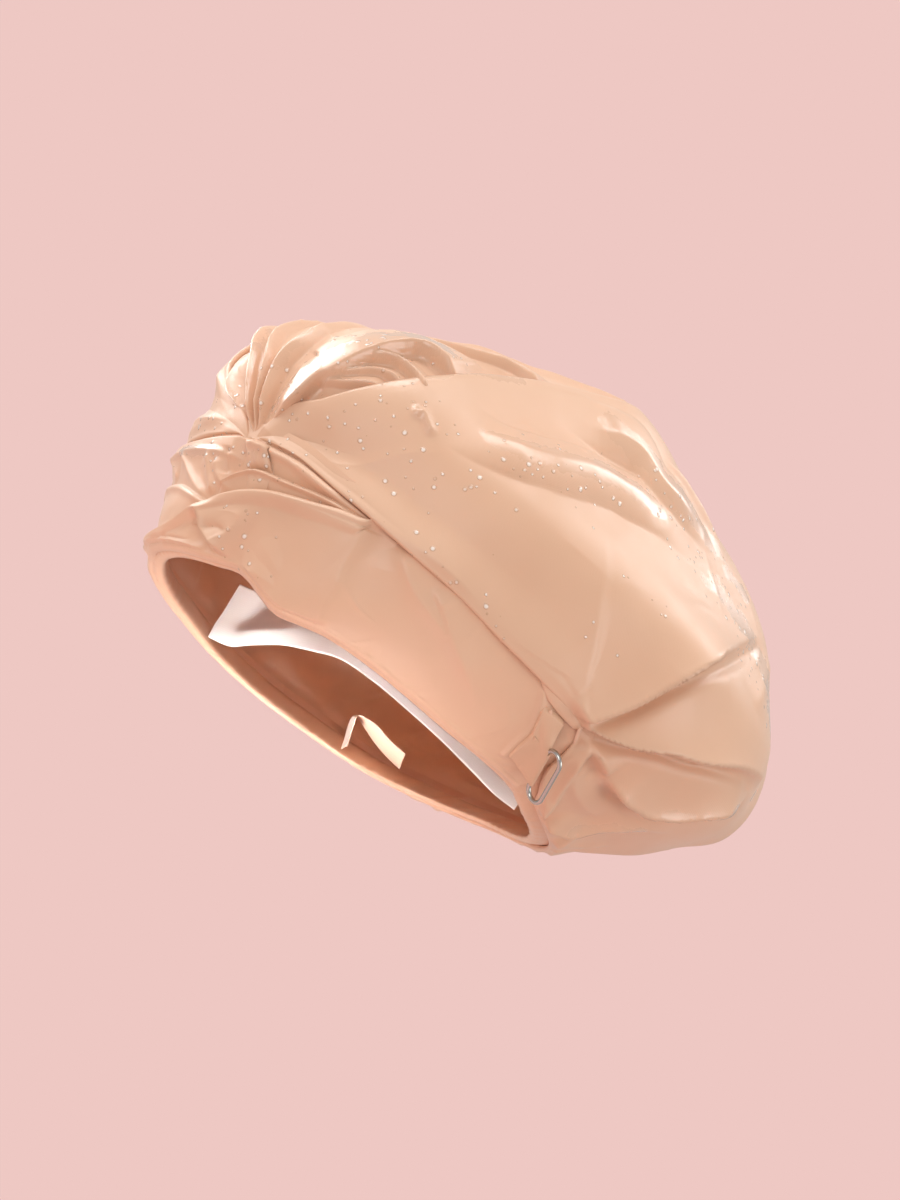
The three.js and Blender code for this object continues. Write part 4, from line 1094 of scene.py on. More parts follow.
# %% Pleat lines of the fan
KNOT_PLACE = (12, 0.312)
FAN_FOLDS = [
    # the bunch that the three narrow pleats stand on
    fold([KNOT_PLACE, (8.5, 0.36), (4.5, 0.41), (0, 0.45), (-8, 0.51), (-20, 0.6), (-40, 0.69)],
         2.2, 7, 6, 0.2, 0.4, puff=0.8, narrow=0.25, foot=0.3),
    # three narrow upright pleats on the left
    fold([KNOT_PLACE, (9, 0.335), (6.5, 0.361), (3, 0.393), (0, 0.421), (-3, 0.444), (-7, 0.467),
          (-14, 0.51), (-26, 0.58), (-42, 0.64), (-56, 0.68)], 6.4, 1.9, 1.7, 0.2, 0.4, puff=0.8,
         narrow=0.4, foot=0.4),
    fold([KNOT_PLACE, (10.6, 0.339), (8.5, 0.371), (7, 0.397), (5, 0.423), (3, 0.446),
          (-0.5, 0.47), (-5, 0.51), (-13, 0.58), (-24, 0.66), (-40, 0.74)], 6.6, 1.5, 1.4, 0.2,
         0.4, puff=0.8, narrow=0.45, foot=0.4),
    fold([KNOT_PLACE, (11.6, 0.341), (10.5, 0.367), (9.5, 0.391), (8.5, 0.411), (7.5, 0.433),
          (7, 0.455), (6.5, 0.48), (5.5, 0.51), (2, 0.57), (-6, 0.65), (-18, 0.73)], 6.4, 1.2, 2.3,
         0.2, 0.4, puff=0.6, narrow=0.45, foot=0.4),
    # the broad glossy pleat and the smaller ones that it covers
    fold([KNOT_PLACE, (14.3, 0.339), (16, 0.361), (17.2, 0.381), (18.5, 0.407), (19.7, 0.433),
          (21.5, 0.45), (22.5, 0.472), (23.5, 0.497), (25.5, 0.53), (27, 0.56), (29.5, 0.584),
          (33, 0.587), (38, 0.58), (44, 0.572)], 7.4, 13, 1.2, 0.25, 0.1, puff=0.5, narrow=0.3,
         foot=0.3),
    fold([(18.5, 0.43), (20.5, 0.455), (22, 0.482), (23.5, 0.504), (26, 0.521), (29, 0.532),
          (32, 0.53), (35.5, 0.524), (39, 0.51), (43, 0.5)], 5.0, 4, 1.0, 0.2, 0.12, puff=0.3,
         pinch=0.4),
    fold([(18, 0.42), (20, 0.44), (22, 0.46), (25, 0.48), (28, 0.497), (32, 0.502), (37, 0.495)],
         3.4, 3, 1.0, 0.3, 0.2, puff=0.3, pinch=0.3),
    fold([(15.5, 0.388), (17.5, 0.415), (19.5, 0.431), (21.5, 0.44), (24.5, 0.45), (27, 0.462),
          (30, 0.472), (33, 0.478)], 3.2, 3.5, 1.0, 0.3, 0.2, puff=0.3, pinch=0.4),
    fold([(10, 0.5), (16, 0.57), (22, 0.63), (29, 0.68), (36, 0.712), (44, 0.722), (52, 0.71)],
         4.2, 9, 1.6, 0.45, 0.15, puff=0.5, narrow=0.6),
    # small folds left of the pleats, and the little hook
    fold([(10, 0.312), (4.5, 0.337), (1, 0.357), (-3, 0.371), (-6, 0.387), (-8, 0.407),
          (-12, 0.44), (-20, 0.5)], 5.0, 1.5, 4.5, 0.2, 0.4, puff=0.5, narrow=0.4, foot=0.3,
         pinch=0.4),
    fold([(9, 0.308), (5.5, 0.319), (2.5, 0.336), (0, 0.352)], 3.4, 1.2, 2.0, 0.2, 0.3, puff=0.6,
         foot=0.3),
    fold([(6, 0.31), (-4, 0.328), (-14, 0.365), (-28, 0.42), (-42, 0.45)], 3.2, 2.5, 5, 0.25, 0.4,
         narrow=0.4, foot=0.2),
    fold([(-2, 0.31), (-12, 0.32), (-26, 0.34), (-40, 0.35)], 2.6, 3, 4, 0.3, 0.4),
    # the far side of the leaf and its back end
    fold([(-14, 0.5), (-30, 0.56), (-46, 0.6), (-62, 0.62)], 4.2, 1.6, 9, 0.35, 0.2),
    fold([(-20, 0.66), (-42, 0.72), (-66, 0.745), (-90, 0.75)], 3.8, 1.8, 8, 0.35, 0.25),
    fold([(4, 0.62), (4, 0.72), (20, 0.83), (70, 0.88), (110, 0.9)], 3.6, 8, 4, 0.4, 0.3),
    fold([(-10, 0.66), (-18, 0.78), (-60, 0.87), (-140, 0.9)], 3.4, 5, 7, 0.4, 0.3),
    fold([(0, 0.74), (10, 0.9), (160, 0.95), (178, 0.9)], 3, 6, 6, 0.4, 0.3),
]
FAN_COLS, FAN_ROWS = 300, 300


def fan_place(u, v):
    """The fan: u goes across the leaf, v from the knot to the back. Its edges lie tucked in."""
    first, last = LEAF_FRONT - 0.006, LEAF_BACK + 0.03
    b = first + (last - first) * v**1.15
    tuck = 9 * MM / RISE_LENGTH * smooth((b - first) / 0.09)
    half = leaf_half(b) + tuck + 0.003
    a = leaf_centre(b) + (2 * u - 1) * half
    base = form_point(a, b)
    edge = (1 - np.abs(2 * u - 1)) * half * RISE_LENGTH
    inside = smooth((edge - 2.5 * MM) / (5 * MM))
    near_knot = 1 - smooth(np.linalg.norm(base - base[np.argmin(v)], axis=1) / (30 * MM))
    inside = np.maximum(inside, near_knot * smooth(edge / (1.5 * MM)))
    field = fold_field(base, FAN_FOLDS) * inside
    field = field + ripples(base, 13 * MM, 11) * 0.22 * MM + crumple(base, 15 * MM, 12) * 0.35 * MM
    back_end = 1 - smooth((v - 0.92) / 0.08)
    return lifted(a, b, field * back_end - 0.7 * MM)


FAN_FLAT = (0.12, 0.19)
fan = grid("brow_fan", FAN_COLS, FAN_ROWS, fan_place, FAN_FLAT)
paint(fan, "wet", [
    ([(14, 0.335), (15.5, 0.375), (17, 0.42), (19, 0.46), (22, 0.51), (25, 0.56), (30, 0.6),
      (38, 0.6)], 7, 1.3),
    ([(9, 0.34), (3, 0.393), (-3, 0.444), (-14, 0.51)], 4, 1),
    ([(8.5, 0.38), (7, 0.46), (4, 0.53)], 3, 0.9),
    ([(22, 0.48), (29, 0.532), (37, 0.518)], 2.5, 0.9),
    ([(20, 0.44), (27, 0.462), (33, 0.478)], 2, 0.8),
    ([(4.5, 0.337), (-3, 0.371), (-8, 0.407)], 3, 0.8),
])
paint(fan, "beads", [([(12, 0.33), (16, 0.42), (22, 0.52), (30, 0.6)], 16, 0.9),
                     ([(4, 0.33), (-10, 0.36), (-24, 0.42)], 10, 1.0)])
dress(fan, nylon, ["top_pleats"], FAN_FLAT)

# %% [markdown]
# ## The wrapped rolls
# Between the bag and the brow band lie wrapped folds, one tucked under the other like shingles:
# each rises slowly to a folded top edge and drops sharply behind it. At the knot they are
# pinched together, and on the far side they swell into rounder rolls.

# %% Crest lines of the rolls
TOP_EDGE = [
    (-71, 0.255), (-50, 0.258), (-34, 0.262), (-18, 0.267), (-7, 0.273), (0.5, 0.281),
    (7.5, 0.293), (12, 0.299), (18, 0.302), (26, 0.299), (29.5, 0.294), (34, 0.286), (40, 0.278),
    (50, 0.268),
]
BOW_ROLL = [
    (-71, 0.24), (-50, 0.242), (-34, 0.246), (-11.5, 0.251), (1, 0.257), (7, 0.26), (13.5, 0.264),
    (24, 0.28), (50, 0.266),
]
NEAR_RIDGE = [
    (-71, 0.2), (4, 0.16), (10, 0.19), (12, 0.21), (13.5, 0.228), (15.5, 0.242), (17.5, 0.251),
    (20.5, 0.256), (26, 0.258), (32, 0.264), (37.5, 0.268), (50, 0.267),
]
FAR_RIDGE = [
    (-71, 0.235), (-50, 0.205), (-34, 0.19), (-16.5, 0.186), (-6, 0.181), (2.5, 0.166), (9, 0.156),
    (16, 0.17), (50, 0.2),
]
WRAP_FOLDS = [
    # upright folds in the hollow front of the far roll
    fold([(2, 0.256), (4, 0.236), (6, 0.212), (8, 0.194), (9.5, 0.17)], 2.0, 1.4, 2.2, 0.2, 0.2),
    fold([(6, 0.25), (8, 0.225), (11, 0.206), (15, 0.196)], 1.8, 1.6, 1.6, 0.2, 0.3),
    fold([(-11, 0.25), (-7, 0.23), (-2, 0.203), (3.5, 0.18), (9, 0.16)], 2.0, 1.8, 2.4, 0.2, 0.2),
    fold([(-22, 0.25), (-18, 0.23), (-12, 0.2)], 1.4, 2.4, 2.6, 0.2, 0.2),
    fold([(-34, 0.25), (-30, 0.225), (-26, 0.2)], 1.2, 3, 3, 0.2, 0.2),
    fold([(9, 0.276), (9, 0.26), (9.8, 0.242), (10.5, 0.22)], -1.6, 1.4, 1.4, 0.2, 0.2),
    fold([(24, 0.292), (30, 0.28), (40, 0.272)], 0.9, 1.6, 1.6, 0.2, 0.3),
]


def brow_top(turn):
    """The rise of the brow band's top edge; where the bag covers it, of the bag's edge."""
    line = np.minimum(crown_low(turn), along(BROW_TOP_SHARES, turn))
    outside = (turn < BROW_TOP_SHARES[0][0]) | (turn > BROW_TOP_SHARES[-1][0])
    return np.where(outside, crown_low(turn), line)


def shingle(rise, below, top, height, drop, bead):
    """Cloth that rises from one line to the next, ends in a rounded bead and drops behind it."""
    span = np.maximum(top - below, 0.006)
    climb = np.sin(np.clip((rise - below) / span, 0, 1) * math.pi / 2) ** 1.1
    crest = bell((rise - top + bead / RISE_LENGTH) * RISE_LENGTH / bead)
    fall = 1 - smooth((rise - top) * RISE_LENGTH / drop)
    return height * (0.66 * climb + 0.34 * crest) * fall


def wrap_lift(turn, rise, base):
    """The height of the wrapped rolls over the form."""
    brow = brow_top(turn) - 2 * MM / RISE_LENGTH
    top, roll_line, near, far = (
        along(line, turn) for line in (TOP_EDGE, BOW_ROLL, NEAR_RIDGE, FAR_RIDGE)
    )
    to_far = smooth((15 - turn) / 6)
    to_near = 1 - to_far
    fade = 1 - smooth((turn - 34) / 14) * 0.9
    fade = fade * (1 - 0.8 * smooth((-46 - turn) / 22))
    # the far rolls: a low one, then one with a hollow front, a rounded edge and a flat top
    low_bow = shingle(rise, brow, far, 3.0 * MM * to_far, 1.4 * MM, 1.6 * MM)
    front = np.clip((rise - far) / np.maximum(roll_line - far, 0.01), 0, 1)
    rounded = 0.6 * MM * bell((rise - roll_line) * RISE_LENGTH / (1.5 * MM))
    high_bow = 1.0 * MM + 4.2 * MM * front**1.7 + rounded
    behind = smooth((rise - top) * RISE_LENGTH / (1.6 * MM))
    high_bow = (high_bow - (high_bow - 2.3 * MM) * behind) * to_far
    # the near rolls: a thin one over the top one
    near_on = smooth((turn - 9.5) / 3.5)
    near_ridge = shingle(rise, brow, near, 4.4 * MM * near_on, 1.1 * MM, 0.9 * MM)
    near_top = shingle(rise, near, top, 4.2 * MM * to_near, 1.5 * MM, 1.6 * MM)
    lift = np.maximum(np.maximum(low_bow, high_bow), np.maximum(near_ridge, near_top)) * fade
    lift = np.maximum(lift, 2.2 * MM * fade * behind)
    small = fold_field(base, WRAP_FOLDS) + ripples(base, 11 * MM, 21) * 0.1 * MM
    return lift + small * fade * (1 - behind) - 0.2 * MM


def roll_place_for(side):
    start = KNOT_TURN - side * 0.1
    end = NEAR_MERGE_TURN + 3 if side > 0 else FAR_MERGE_TURN - 3

    def place(u, v):
        turn = start + (end - start) * u if side > 0 else end + (start - end) * u
        low = brow_top(turn) - 10 * MM / RISE_LENGTH
        high = crown_low(turn) + 6 * MM / RISE_LENGTH
        rise = low + (high - low) * v
        a, b = plan_of(turn, rise)
        return lifted(a, b, wrap_lift(turn, rise, form_point(a, b)))

    return place


for name, side, cols, node, flat in (
    ("wrap_left", 1, 190, "wrap_roll_left", (0.06, 0.045)),
    ("wrap_right", -1, 300, "wrap_roll_right", (0.155, 0.048)),
):
    roll_piece = grid(name, cols, 150, roll_place_for(side), flat)
    paint(roll_piece, "wet", [([(-14, 0.252), (-6, 0.254), (1, 0.258), (9, 0.261)], 2.6, 1)])
    paint(roll_piece, "beads", [([(-16, 0.25), (0, 0.26), (12, 0.27), (30, 0.27)], 8, 0.6)])
    dress(roll_piece, nylon, [node], flat)

# %% [markdown]
# ## The knot
# Cloth from both rolls is bunched in the middle, and a short strap is wrapped over the bunch
# and tucked in behind the upper and lower folds.

# %% The bunched core and the strap
# The strap's middle and half width, both in degrees of turn, at each rise from its lower end
STRAP_LINE = [
    (0.196, 21.2), (0.238, 19.8), (0.256, 18.6), (0.274, 17.1), (0.29, 15.6), (0.308, 14.4),
]
STRAP_HALF = [(0.196, 2.1), (0.24, 2.9), (0.274, 3.3), (0.308, 3.5)]
CORE_RISE, CORE_HALF_HEIGHT, CORE_HALF_TURN = 0.262, 9.5 * MM, 3.9


def knot_ribs(across):
    return 0.5 + 0.5 * np.cos(across * 2 * math.pi * 1.4 + 0.6)


def core_place(u, v):
    across, up = 2 * u - 1, 2 * v - 1
    rise = CORE_RISE + up * CORE_HALF_HEIGHT / RISE_LENGTH
    turn = along(STRAP_LINE, rise) + across * CORE_HALF_TURN * (1 - 0.25 * up**2)
    a, b = plan_of(turn, rise)
    dome = np.clip(1 - across**2, 0, 1) ** 0.5 * np.clip(1 - up**2, 0, 1) ** 0.5
    lift = wrap_lift(turn, rise, form_point(a, b)) - 0.7 * MM
    return lifted(a, b, lift + dome * (1.3 + 0.3 * knot_ribs(across)) * MM)


core = grid("knot_bunch", 70, 80, core_place, (0.016, 0.019))
thicken(core, 0.8 * MM)
dress(core, nylon, ["knot_core"])


def strap_place(u, v):
    across = 2 * u - 1
    rise = STRAP_LINE[0][0] + (STRAP_LINE[-1][0] - STRAP_LINE[0][0]) * v
    turn = along(STRAP_LINE, rise) + across * along(STRAP_HALF, rise)
    a, b = plan_of(turn, rise)
    under = wrap_lift(turn, rise, form_point(a, b))
    rounded = np.clip(1 - np.abs(across) ** 3, 0, 1) ** 0.5
    below = smooth((along(NEAR_RIDGE, turn) - rise) * RISE_LENGTH / (3 * MM))
    body = (0.7 + 2.1 * rounded + 0.3 * knot_ribs(across) * rounded) * (1 - 0.75 * below)
    # it passes behind the thin roll, and its upper end goes in between the folds
    covered = bell((rise - along(NEAR_RIDGE, turn) + 0.003) * RISE_LENGTH / (2.2 * MM))
    top_tuck = smooth((v - 0.88) / 0.12) * 2.6
    return lifted(a, b, under + (body * (1 - 1.1 * covered) - top_tuck) * MM)


STRAP_FLAT = (0.013, 0.028)
strap = grid("knot_strap", 60, 110, strap_place, STRAP_FLAT)
paint(strap, "beads", [([(16, 0.3), (18, 0.27)], 9, 2.2)])
paint(strap, "wet", [([(15, 0.3), (18, 0.26)], 3, 0.5)])
thicken(strap, 0.5 * MM)
dress(strap, nylon, ["knot_loop"], STRAP_FLAT, 2)

# %% [markdown]
# ## The brow band
# The band goes round the forehead and over both ears. In front its top edge is folded over the
# rolls; at the sides it runs under the bag. Its lower edge turns in round the hem.

# %% The brow band's sheet
BAND_FOLDS = [
    fold([(44, 0.26), (44.5, 0.244), (45.5, 0.2), (46.5, 0.169), (48.5, 0.127), (50, 0.058),
          (52, 0.0)], 2.6, 2.4, 16, 0.1, 0.1),
    fold([(50, 0.27), (53, 0.244), (60, 0.204), (70, 0.177), (80, 0.16)], 2.8, 10, 3.6, 0.3, 0.4),
    fold([(58, 0.25), (62, 0.227), (70, 0.18), (79, 0.138), (88, 0.09)], 3.0, 11, 3.6, 0.3, 0.4),
    fold([(66, 0.245), (70, 0.2), (74, 0.15), (80, 0.1)], 1.4, 6, 6, 0.3, 0.4),
    # the line along the tab that holds the ring
    fold([(86, 0.226), (88.5, 0.203), (92, 0.174), (95.5, 0.142), (98, 0.104), (101, 0.053),
          (102, 0.03)], 1.2, 2.4, 0.7, 0.1, 0.15),
    # at the left end of the brow: the main cloth stands over a hollow three-cornered place
    fold([(6.5, 0.135), (9.5, 0.127), (12, 0.109), (13.5, 0.085), (17, 0.058), (21, 0.034),
          (25, 0.012)], 5.0, 12, 0.8, 0.08, 0.3, pinch=0.4, hollow=1.2),
    fold([(13.5, 0.082), (15, 0.094), (17, 0.102), (19, 0.098), (20.5, 0.085)], -1.6, 1.2, 1.8,
         0.2, 0.3),
    fold([(-20, 0.008), (-6, 0.014), (6, 0.016), (14, 0.014), (20, 0.006)], 1.8, 2, 2, 0.2, 0.3),
    fold([(-24, 0.03), (-12, 0.034), (-2, 0.04), (6, 0.042), (12, 0.036)], 1.4, 2.5, 2, 0.2, 0.3),
    fold([(28, 0.0), (32, 0.03), (37, 0.05), (44, 0.05)], 1.6, 4, 4, 0.2, 0.5),
    fold([(26, 0.12), (34, 0.1), (42, 0.07)], 1.0, 8, 8, 0.4, 0.4),
    # the far side
    fold([(-45, 0.25), (-50, 0.18), (-56, 0.08), (-60, 0.0)], 2.6, 12, 5, 0.15, 0.15),
    fold([(-58, 0.25), (-70, 0.18), (-84, 0.12)], 2.0, 8, 10, 0.3, 0.4),
    fold([(-88, 0.22), (-94, 0.14), (-100, 0.04)], 2, 5, 4, 0.2, 0.1),
    fold([(-66, 0.2), (-76, 0.1), (-80, 0.02)], 1.8, 9, 7, 0.3, 0.2),
]
BAND_COLS = 500
BAND_ROWS_HOOK, BAND_ROWS_FACE, BAND_ROWS_ROLL, BAND_ROWS_UNDER = 8, 140, 12, 5
BAND_ROWS = BAND_ROWS_HOOK + BAND_ROWS_FACE + BAND_ROWS_ROLL + BAND_ROWS_UNDER
HOOK = 1.5 * MM
HOOK_TURN = 0.8 * math.pi


def hook_under(points, a, b, share):
    """Turns the lowest rows of a sheet in under its edge, towards the hem."""
    inward = form_normal(a, b)
    inward[:, 2] = 0
    inward = -unit(inward)
    angle = np.clip(share, 0, 1) * HOOK_TURN
    turned = points + inward * (HOOK * 1.6 * (1 - np.cos(angle)))[:, None]
    turned[:, 2] -= HOOK * np.sin(angle)
    return turned


def band_place(u, v):
    """The brow band: its rows hook in at the hem, cross the face and roll over at the top."""
    turn = (2 * u - 1) * BAND_END_TURN
    past = np.where(turn > 0, turn - NEAR_MERGE_TURN, FAR_MERGE_TURN - turn)
    front = 1 - smooth(past / 8 + 0.6)
    tucked = crown_low(turn) + 7 * MM / RISE_LENGTH
    top = brow_top(turn) * front + tucked * (1 - front)
    top = np.maximum(EDGE_RISE * 2.5, top)
    row = v * BAND_ROWS
    face_start = BAND_ROWS_HOOK
    roll_start = face_start + BAND_ROWS_FACE
    under_start = roll_start + BAND_ROWS_ROLL
    radius = (0.3 + 1.5 * front) * MM
    under = (1 + 7 * front) * MM
    run = np.where(
        row < under_start,
        math.pi * radius * (1 - np.clip((row - roll_start) / BAND_ROWS_ROLL, 0, 1)),
        -under * (row - under_start) / BAND_ROWS_UNDER,
    )
    base_lift = (1.3 * front - 0.5) * MM
    roll_in, roll_lift = roll_over(run, radius, base_lift)
    length = (top - EDGE_RISE) * RISE_LENGTH
    face = np.clip((row - face_start) / BAND_ROWS_FACE, 0, 1)
    inward = np.where(row < roll_start, (1 - face) * length, roll_in)
    rise = np.clip(top - inward / RISE_LENGTH, EDGE_RISE, 1)
    a, b = plan_of(turn, rise)
    base = form_point(a, b)
    from_top = (1 - face) * length
    crest_lift = base_lift + 2 * radius
    # the folded top edge stands up, with a soft valley below it
    face_lift = crest_lift * (0.3 + 0.7 * (1 - smooth(from_top / (7 * MM))))
    face_lift = face_lift * (1 - smooth(from_top / (30 * MM))) * front + 0.4 * MM * front
    field = fold_field(base, BAND_FOLDS) + ripples(base, 36 * MM, 31) * 0.4 * MM
    field = field + crumple(base, 30 * MM, 35) * 0.5 * MM + ripples(base, 15 * MM, 36) * 0.06 * MM
    pucker = np.sin(np.radians(turn) * 60 + ripples(base, 20 * MM, 33) * 3)
    field = field + 0.3 * MM * pucker * (1 - smooth(rise / 0.07))
    inside = smooth(from_top / (5 * MM)) * smooth((length - from_top) / (3 * MM) + 0.3)
    face_lift = face_lift + field * inside
    lift = np.where(row < roll_start, face_lift, roll_lift)
    return hook_under(lifted(a, b, lift), a, b, 1 - row / face_start)


BAND_FLAT = (0.38, 0.052)
band = grid("brow_band_cloth", BAND_COLS, BAND_ROWS, band_place, BAND_FLAT)
paint(band, "beads", [([(16, 0.15), (24, 0.13), (32, 0.11)], 9, 0.8),
                      ([(20, 0.04), (36, 0.03)], 6, 0.8)])
dress(band, nylon, ["brow_band"], BAND_FLAT)

# %% [markdown]
# ## Lining and hem
# A smooth satin lining fills the inside, drawn into soft folds above the elasticated hem. The
# hem is a turned-in fold of the outer cloth, puckered by the elastic that runs in it.

# %% The lining
LINING_DROP = 3.2 * MM
LINING_BOTTOM, LINING_TOP = rise_of_height(6.5 * MM), 0.9985
LINING_COLS, LINING_ROWS = 380, 120


def lining_place(u, v):
    turn = u * 360
    rise = LINING_BOTTOM + (LINING_TOP - LINING_BOTTOM) * v
    a, b = plan_of(turn, rise)
    base = form_point(a, b)
    phase = ripples(base * np.array([1, 1, 0.2]), 34 * MM, 41) * 2.5
    wave = (0.5 + 0.5 * np.sin(np.radians(turn) * 22 + phase)) ** 1.4
    deep = (1 - smooth(v / 0.28)) * smooth(v / 0.03)
    drape = (0.5 + 0.5 * ripples(base, 46 * MM, 42)) * 2.4 * MM * smooth(v / 0.08)
    net = crumple(base, 40 * MM, 43) * 1.4 * MM * smooth(v / 0.05)
    # the lowest part is sewn into the top of the hem
    over_hem = 2.4 * MM * (1 - smooth((level_value(0, rise) - 8 * MM) / (12 * MM)))
    inward = LINING_DROP + wave * deep * 1.6 * MM + np.maximum(drape, 0) + net + over_hem
    return lifted(a, b, -inward)


LINING_FLAT = (0.6, 0.2)
lining = grid("lining_cloth", LINING_COLS, LINING_ROWS, lining_place, LINING_FLAT, ring=True)
dress(lining, satin, ["crown_lining"], LINING_FLAT)

# %% The hem and its elastic
def rim_place(turn, inset, height):
    """Points by the rim, some way in from the form's surface and at some height over its plane."""
    table = np.linspace(0, 0.2, 200)
    rise = np.interp(np.clip(height, 0, None), level_value(0, table), table)
    a, b = plan_of(turn, rise)
    point = form_point(a, b)
    inward = form_normal(a, b)
    inward[:, 2] = 0
    point = point - unit(inward) * np.asarray(inset)[:, None]
    point[:, 2] = height - hem_drop(turn)
    return point


# The hem's outline: inset and height in mm, from its outer top round the bottom to the inner top
HEM_OUTLINE = [
    (1.4, 7.6), (1.2, 4.5), (1.3, 1.8), (2.4, -0.1), (4.4, -0.7), (6.6, 0.0), (7.7, 1.8),
    (7.8, 4.6), (7.2, 6.8), (6.0, 8.2), (4.6, 8.7), (3.2, 8.2),
]
HEM_COLS, HEM_ROWS = 620, 44


def hem_place(u, v):
    turn = u * 360
    inset, height = (column * MM for column in along_path(HEM_OUTLINE, v))
    base = rim_place(turn, np.full_like(u, 4 * MM), np.full_like(u, 4 * MM))
    phase = ripples(base, 22 * MM, 51) * 4
    wave = np.sin(np.radians(turn) * 78 + phase) + 0.4 * np.sin(np.radians(turn) * 131 - phase)
    strength = 0.2 + 0.4 * smooth((np.abs(signed_turn(turn)) - 100) / 20)
    inner = smooth((v - 0.15) / 0.3)
    inset = inset + wave * 0.45 * MM * strength * inner
    height = height + wave * 0.2 * MM * (1 - inner)
    return rim_place(turn, inset, height)


HEM_FLAT = (0.62, 0.026)
hem = grid("hem_tube", HEM_COLS, HEM_ROWS, hem_place, HEM_FLAT, ring=True)
dress(hem, plain_nylon, ["hem_casing"], HEM_FLAT)

ELASTIC_OUTLINE = [(4.1, 1.5), (5.7, 1.5), (5.7, 7.3), (4.1, 7.3), (4.1, 1.5)]


def elastic_place(u, v):
    turn = u * 360
    where = v * 4
    corner = np.minimum(where.astype(int), 3)
    share = (where - corner)[:, None]
    outline = np.array(ELASTIC_OUTLINE)
    spot = outline[corner] * (1 - share) + outline[corner + 1] * share
    rib = 0.12 * np.sin(np.radians(turn) * 300)
    return rim_place(turn, (spot[:, 0] + rib) * MM, spot[:, 1] * MM)


elastic_ring = grid("hem_elastic_band", 900, 16, elastic_place, (0.5, 0.015), ring=True)
dress(elastic_ring, elastic, ["hem_elastic"], (0.5, 0.0148))

# %% [markdown]
# ## Grip band, label and tapes
# A soft white band stands inside the brow and round one side. A short blank label and the two
# tapes behind the gathers are sewn to the lining.

# %% Grip band
# Its line across the opening: shares of half the rim's width and length, and the height in mm
# of its lower edge
GRIP_LINE = [
    (-0.86, -0.34, -3.6), (-0.74, -0.285, -3.0), (-0.5, -0.3, -1.6), (-0.2, -0.355, -1.6),
    (0.12, -0.41, -1.8), (0.42, -0.425, -2.0), (0.64, -0.39, -1.2), (0.72, -0.24, -0.8),
    (0.735, -0.06, -0.9), (0.735, 0.12, -1.2), (0.7, 0.32, -1.8), (0.69, 0.46, -2.6),
    (0.74, 0.55, -3.0),
]
GRIP_HEIGHT = 26 * MM


def grip_place(u, v):
    x_share, y_share, low = along_path(GRIP_LINE, u)
    x, y = x_share * RIM_WIDTH / 2, y_share * RIM_LENGTH / 2
    # its left end is cut at a slant, and a soft hollow runs along its lower half there
    slant = 5 * MM * (1 - smooth(u / 0.08)) * v
    hollow = 2.6 * MM * bell((u - 0.2) / 0.15) * bell((v - 0.22) / 0.2)
    base = np.stack([x - slant, y, low * MM + v * GRIP_HEIGHT], -1)
    base[:, 1] += ripples(base * np.array([1, 1, 0.3]), 40 * MM, 61) * 0.5 * MM - hollow
    return base


GRIP_FLAT = (0.23, 0.026)
grip = grid("grip_band", 300, 40, grip_place, GRIP_FLAT)
thicken(grip, 1.0 * MM)
dress(grip, white_ribbon, ["brow_grip_band"], GRIP_FLAT, 2)

# %% Label and tapes
# The loop's path on the inside of the rim: turn, and height in mm
LABEL_PATH = [
    (-117, -4.0), (-115.6, 2.4), (-114.4, 8.4), (-115.4, 10), (-118.5, 8.4), (-123, 6),
    (-128, 4.2), (-133, 3.2),
]
LABEL_INSET, LABEL_WIDTH = 8.8 * MM, 13 * MM
LABEL_LEAN = 0.28


def label_place(u, v):
    """A ribbon folded into a loop: it stands on the hem and leans in from the wall."""
    turn, height = along_path(LABEL_PATH, u)
    a, b = plan_of(turn, np.full_like(u, 0.03))
    wall, out = form_point(a, b), form_normal(a, b)
    out[:, 2] = 0
    out = unit(out)
    far_leg = smooth((u - 0.4) / 0.3)
    lean = LABEL_LEAN * far_leg
    across = LABEL_WIDTH * v
    point = wall - out * (LABEL_INSET + across * np.sqrt(1 - lean**2))[:, None]
    point[:, 2] = height * MM + across * lean + 0.5 * MM * np.sin(v * 3 + u * 4)
    return point


LABEL_FLAT = (0.042, 0.0135)
label = grid("blank_label", 60, 30, label_place, LABEL_FLAT)
thicken(label, 0.5 * MM)
dress(label, ribbon, ["care_label"], LABEL_FLAT, 2)


# The tapes' width, their depth under the bag, and the height and number of their ribs
TAPE_WIDTH, TAPE_DEPTH = 6 * MM, 1.4 * MM
TAPE_RIB, TAPE_RIBS = 0.12 * MM, 5
TAPE_FLAT = (0.026, 0.01)


def tape_place_for(side):
    def place(u, v):
        share = u if side > 0 else 1 - u
        turn = side * (GATHER_TURN - 4 + 12 * share)
        rise = 0.25 - 0.12 * share + v * TAPE_WIDTH / RISE_LENGTH
        a, b = plan_of(turn, rise)
        rib = TAPE_RIB * np.sin(v * 2 * math.pi * TAPE_RIBS)
        return lifted(a, b, rib - TAPE_DEPTH)

    return place


for name, side in (("left", 1), ("right", -1)):
    tape = grid("gather_tape_cloth_" + name, 70, 24, tape_place_for(side), TAPE_FLAT)
    thicken(tape, 0.9 * MM)
    node = "gather_tape_" + name
    dress(tape, elastic, [node], TAPE_FLAT, 2)

# %% [markdown]
# ## The ring and its tab
# An oblong steel ring hangs by the side gather. A cloth tab comes out from under the bag's
# edge, goes round one long bar of the ring and back under itself.

